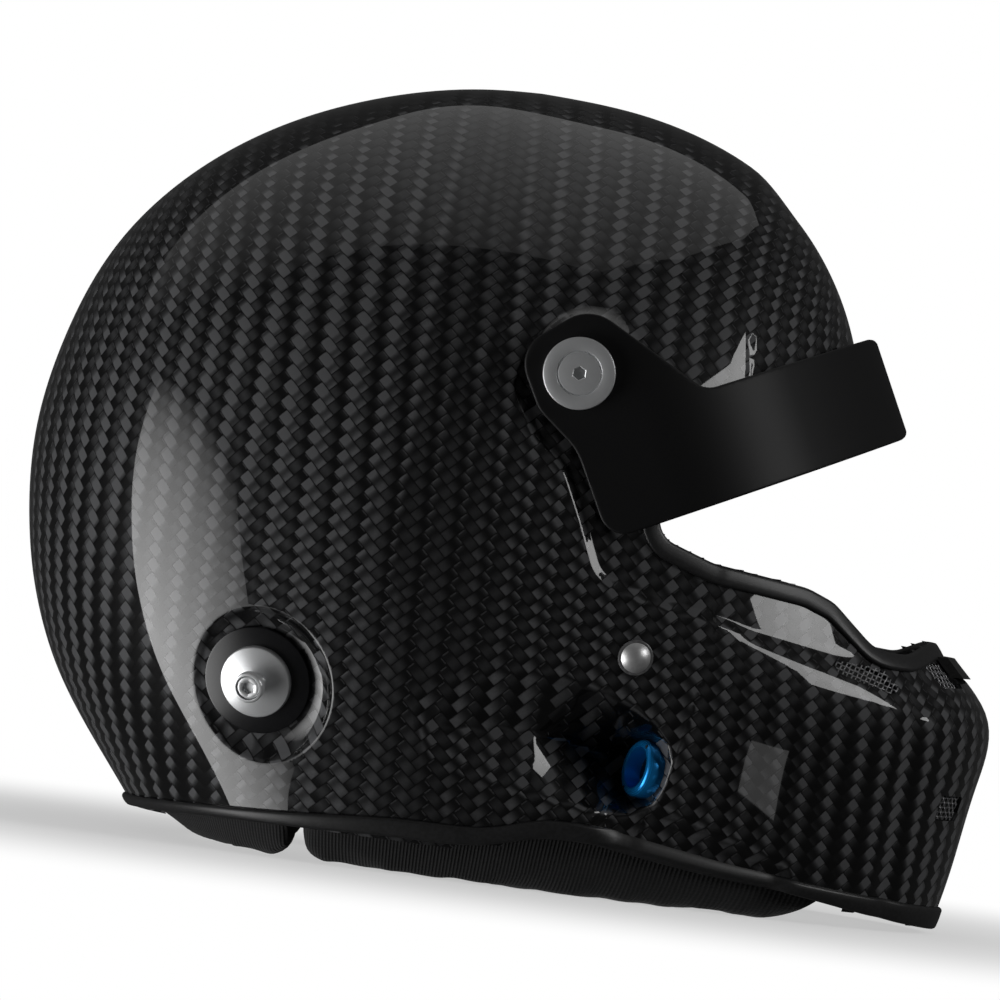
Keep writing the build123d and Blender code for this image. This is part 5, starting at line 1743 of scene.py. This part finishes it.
def loop_path():
    """Half of the loop down its side and round the corner, then its mirror image."""
    half, bend = STRAP_HALF - STRAP_CORE, STRAP_CORNER - STRAP_CORE
    path = [(STRAP_X, -half, z) for z in np.linspace(STRAP_Z + STRAP_HEAD, STRAP_FOOT + STRAP_CORNER, 24)]
    for a in np.linspace(0, math.pi / 2, 12)[1:]:
        y, z = -half + bend - bend * math.cos(a), STRAP_FOOT + STRAP_CORNER - bend * math.sin(a)
        path.append((STRAP_X, y, z))
    path += [(STRAP_X, y, STRAP_FOOT + STRAP_CORE) for y in np.linspace(-half + bend, 0, 14)[1:]]
    return path + [(p[0], -p[1], p[2]) for p in reversed(path[:-1])]


def ring_path(centre):
    """Closed D shape of a ring's wire."""
    half_long, half_high = RING_LONG / 2 - RING_WIRE, RING_HIGH / 2 - RING_WIRE
    up_way = np.array((0, math.cos(RING_LEAN), math.sin(RING_LEAN)))
    side_way = np.array((1.0, 0, 0))
    straight = half_long - RING_CORNER
    shape = [(s, -half_high) for s in np.linspace(-straight, straight, 14)]
    for cx, cz, r, start in (
        (straight, -half_high + RING_CORNER, RING_CORNER, -90),
        (half_long - RING_BOW, half_high - RING_BOW, RING_BOW, 0),
        (-half_long + RING_BOW, half_high - RING_BOW, RING_BOW, 90),
        (-straight, -half_high + RING_CORNER, RING_CORNER, 180),
    ):
        for a in np.radians(np.linspace(start, start + 90, 9)):
            shape.append((cx + r * math.cos(a), cz + r * math.sin(a)))
    path = [centre + side_way * a + up_way * b for a, b in shape]
    path = [p for k, p in enumerate(path) if np.linalg.norm(p - path[k - 1]) > 0.05]
    return path, np.cross(side_way, up_way)


give(strip("strap_loop", loop_path(), STRAP_WIDTH, LOOP_THICK), web, "strap", "webbing", ["chin_strap"])
path = [
    (STRAP_X, y, STRAP_FOOT + TAIL_LIFT + TAIL_SAG * math.sin(y / TAIL_WAVE))
    for y in np.linspace(-TAIL_HALF, TAIL_HALF, 40)
]
give(strip("strap_tail", path, TAIL_WIDTH, TAIL_THICK), web, "strap", "webbing")
edge = side_reach(STRAP_X, STRAP_Z) - WALL - PLATE_SETBACK
for side, flip in (("right", 1), ("left", -1)):
    path = [
        (STRAP_X, -y * flip, STRAP_Z + SIDE_SAG * math.sin((y - SIDE_PHASE) / SIDE_WAVE))
        for y in np.linspace(SIDE_START, edge, 40)
    ]
    piece = strip(f"strap_side_{side}", path, STRAP_WIDTH, SIDE_THICK)
    give(piece, web, slot="webbing", replaces=[f"strap_web_{side}"])
for number, (node, name) in enumerate((("d_ring_inner", "ring_inner"), ("d_ring_outer", "ring_outer"))):
    centre = np.array((STRAP_X, RING_Y + number * RING_STEP, STRAP_FOOT + RING_LIFT))
    path, up = ring_path(centre)
    give(closed_bar(name, path, RING_WIRE, up), steel, "strap", "steel", [node])
snap_rows = [(0, 0.1), (4.3, 0.1), (4.5, 0.3), (4.5, 1.1), (4.3, 1.5), (3.9, 1.7), (3.0, 1.75), (0, 1.75)]
snap_place = (STRAP_X, SNAP_Y, STRAP_FOOT + SNAP_LIFT)
snap = lathe("snap_cap", snap_rows, snap_place, (0, 0, 1), AHEAD, 48, mirror=False)
give(snap[0], gloss_black, "strap", "snap_plastic", ["strap_snap"])

# Camera at the photograph's angle: level, along +Y, rolled about its own axis
ROLL, LENS, SENSOR = math.radians(7.5), 350.0, 36.0
CAMERA_SPOT = (-0.0081, -3.5, 0.1334)
camera = bpy.data.objects.new("camera", bpy.data.cameras.new("camera"))
bpy.context.scene.collection.objects.link(camera)
camera.data.lens, camera.data.sensor_width = LENS, SENSOR
camera.data.clip_end = 30.0
right = Vector((math.cos(ROLL), 0, math.sin(ROLL)))
upward = Vector((-math.sin(ROLL), 0, math.cos(ROLL)))
back = Vector((0, -1, 0))
turn = Matrix((right, upward, back)).transposed().to_4x4()
camera.matrix_world = Matrix.Translation(CAMERA_SPOT) @ turn
bpy.context.scene.camera = camera


def soft_box(name, spot, way, size, power, spread):
    """A soft box at a place, facing along a way."""
    data = bpy.data.lights.new(name, "AREA")
    data.shape = "RECTANGLE"
    data.size, data.size_y = size
    data.energy = power
    data.spread = math.radians(spread)
    made = bpy.data.objects.new(name, data)
    bpy.context.scene.collection.objects.link(made)
    made.location = spot
    made.rotation_euler = Vector(way).to_track_quat("-Z", "Y").to_euler()
    made.visible_camera = False


# Each box is turned a little away from the helmet, so that its mirror image fades towards one edge
soft_box("rear_box", (-1.95, -1.0, 0.05), (0.95, 0.12, 0.42), (1.5, 3.0), 18, 84)
soft_box("front_box", (1.95, -0.62, 1.00), (-0.92, 0.22, -0.35), (1.1, 0.8), 5, 110)
soft_box("low_box", (1.30, -1.15, -0.60), (-0.72, 0.58, 0.37), (0.24, 0.13), 0.03, 120)
soft_box("top_box", (-1.35, -0.10, 2.2), (0.0, -0.5, -0.85), (5.3, 2.6), 11, 130)


def pale_floor():
    """Floor that only the camera sees; its shadow fades into white away from the helmet."""
    far, drop = 6000, -1
    corners = [(-far, -far, drop), (far, -far, drop), (far, far, drop), (-far, far, drop)]
    floor = mesh_object("floor", corners, [(0, 1, 2, 3)])
    pale = bpy.data.materials.new("pale_floor")
    pale.use_nodes = True
    tree = pale.node_tree
    along, across, _ = split(tree, add_node(tree, "ShaderNodeTexCoord").outputs["Object"])
    stretch, near, clear_of, least = 0.6, 0.12, 0.42, 0.5
    distance = (along * along * stretch + across * across).root()
    lit = tree.nodes["Principled BSDF"]
    lit.inputs["Base Color"].default_value = (0.9, 0.9, 0.9, 1)
    lit.inputs["Roughness"].default_value = 0.9
    lit.inputs["Specular IOR Level"].default_value = 0.0
    glow = add_node(tree, "ShaderNodeEmission", {"Color": (1, 1, 1, 1)})
    clear = add_node(tree, "ShaderNodeBsdfTransparent")
    white = distance.rise(near, clear_of) * (1 - least) + least
    blend = add_node(tree, "ShaderNodeMixShader", {0: white, 1: lit.outputs[0], 2: glow.outputs[0]})
    seen = add_node(tree, "ShaderNodeLightPath").outputs["Is Camera Ray"]
    shown = add_node(tree, "ShaderNodeMixShader", {0: seen, 1: clear.outputs[0], 2: blend.outputs[0]})
    tree.links.new(shown.outputs[0], tree.nodes["Material Output"].inputs["Surface"])
    floor.data.materials.append(pale)


def surround(seen_dimly=0.04):
    """World that is white to the camera and nearly dark to the helmet."""
    world = bpy.data.worlds.new("surround")
    bpy.context.scene.world = world
    world.use_nodes = True
    tree = world.node_tree
    ray = add_node(tree, "ShaderNodeLightPath").outputs["Is Camera Ray"]
    strength = Flow(tree, ray) * (1 - seen_dimly) + seen_dimly
    ground = tree.nodes["Background"]
    tree.links.new(strength.socket, ground.inputs["Strength"])
    ground.inputs["Color"].default_value = (1, 1, 1, 1)


pale_floor()
surround()
bpy.context.scene.view_settings.view_transform = "Standard"
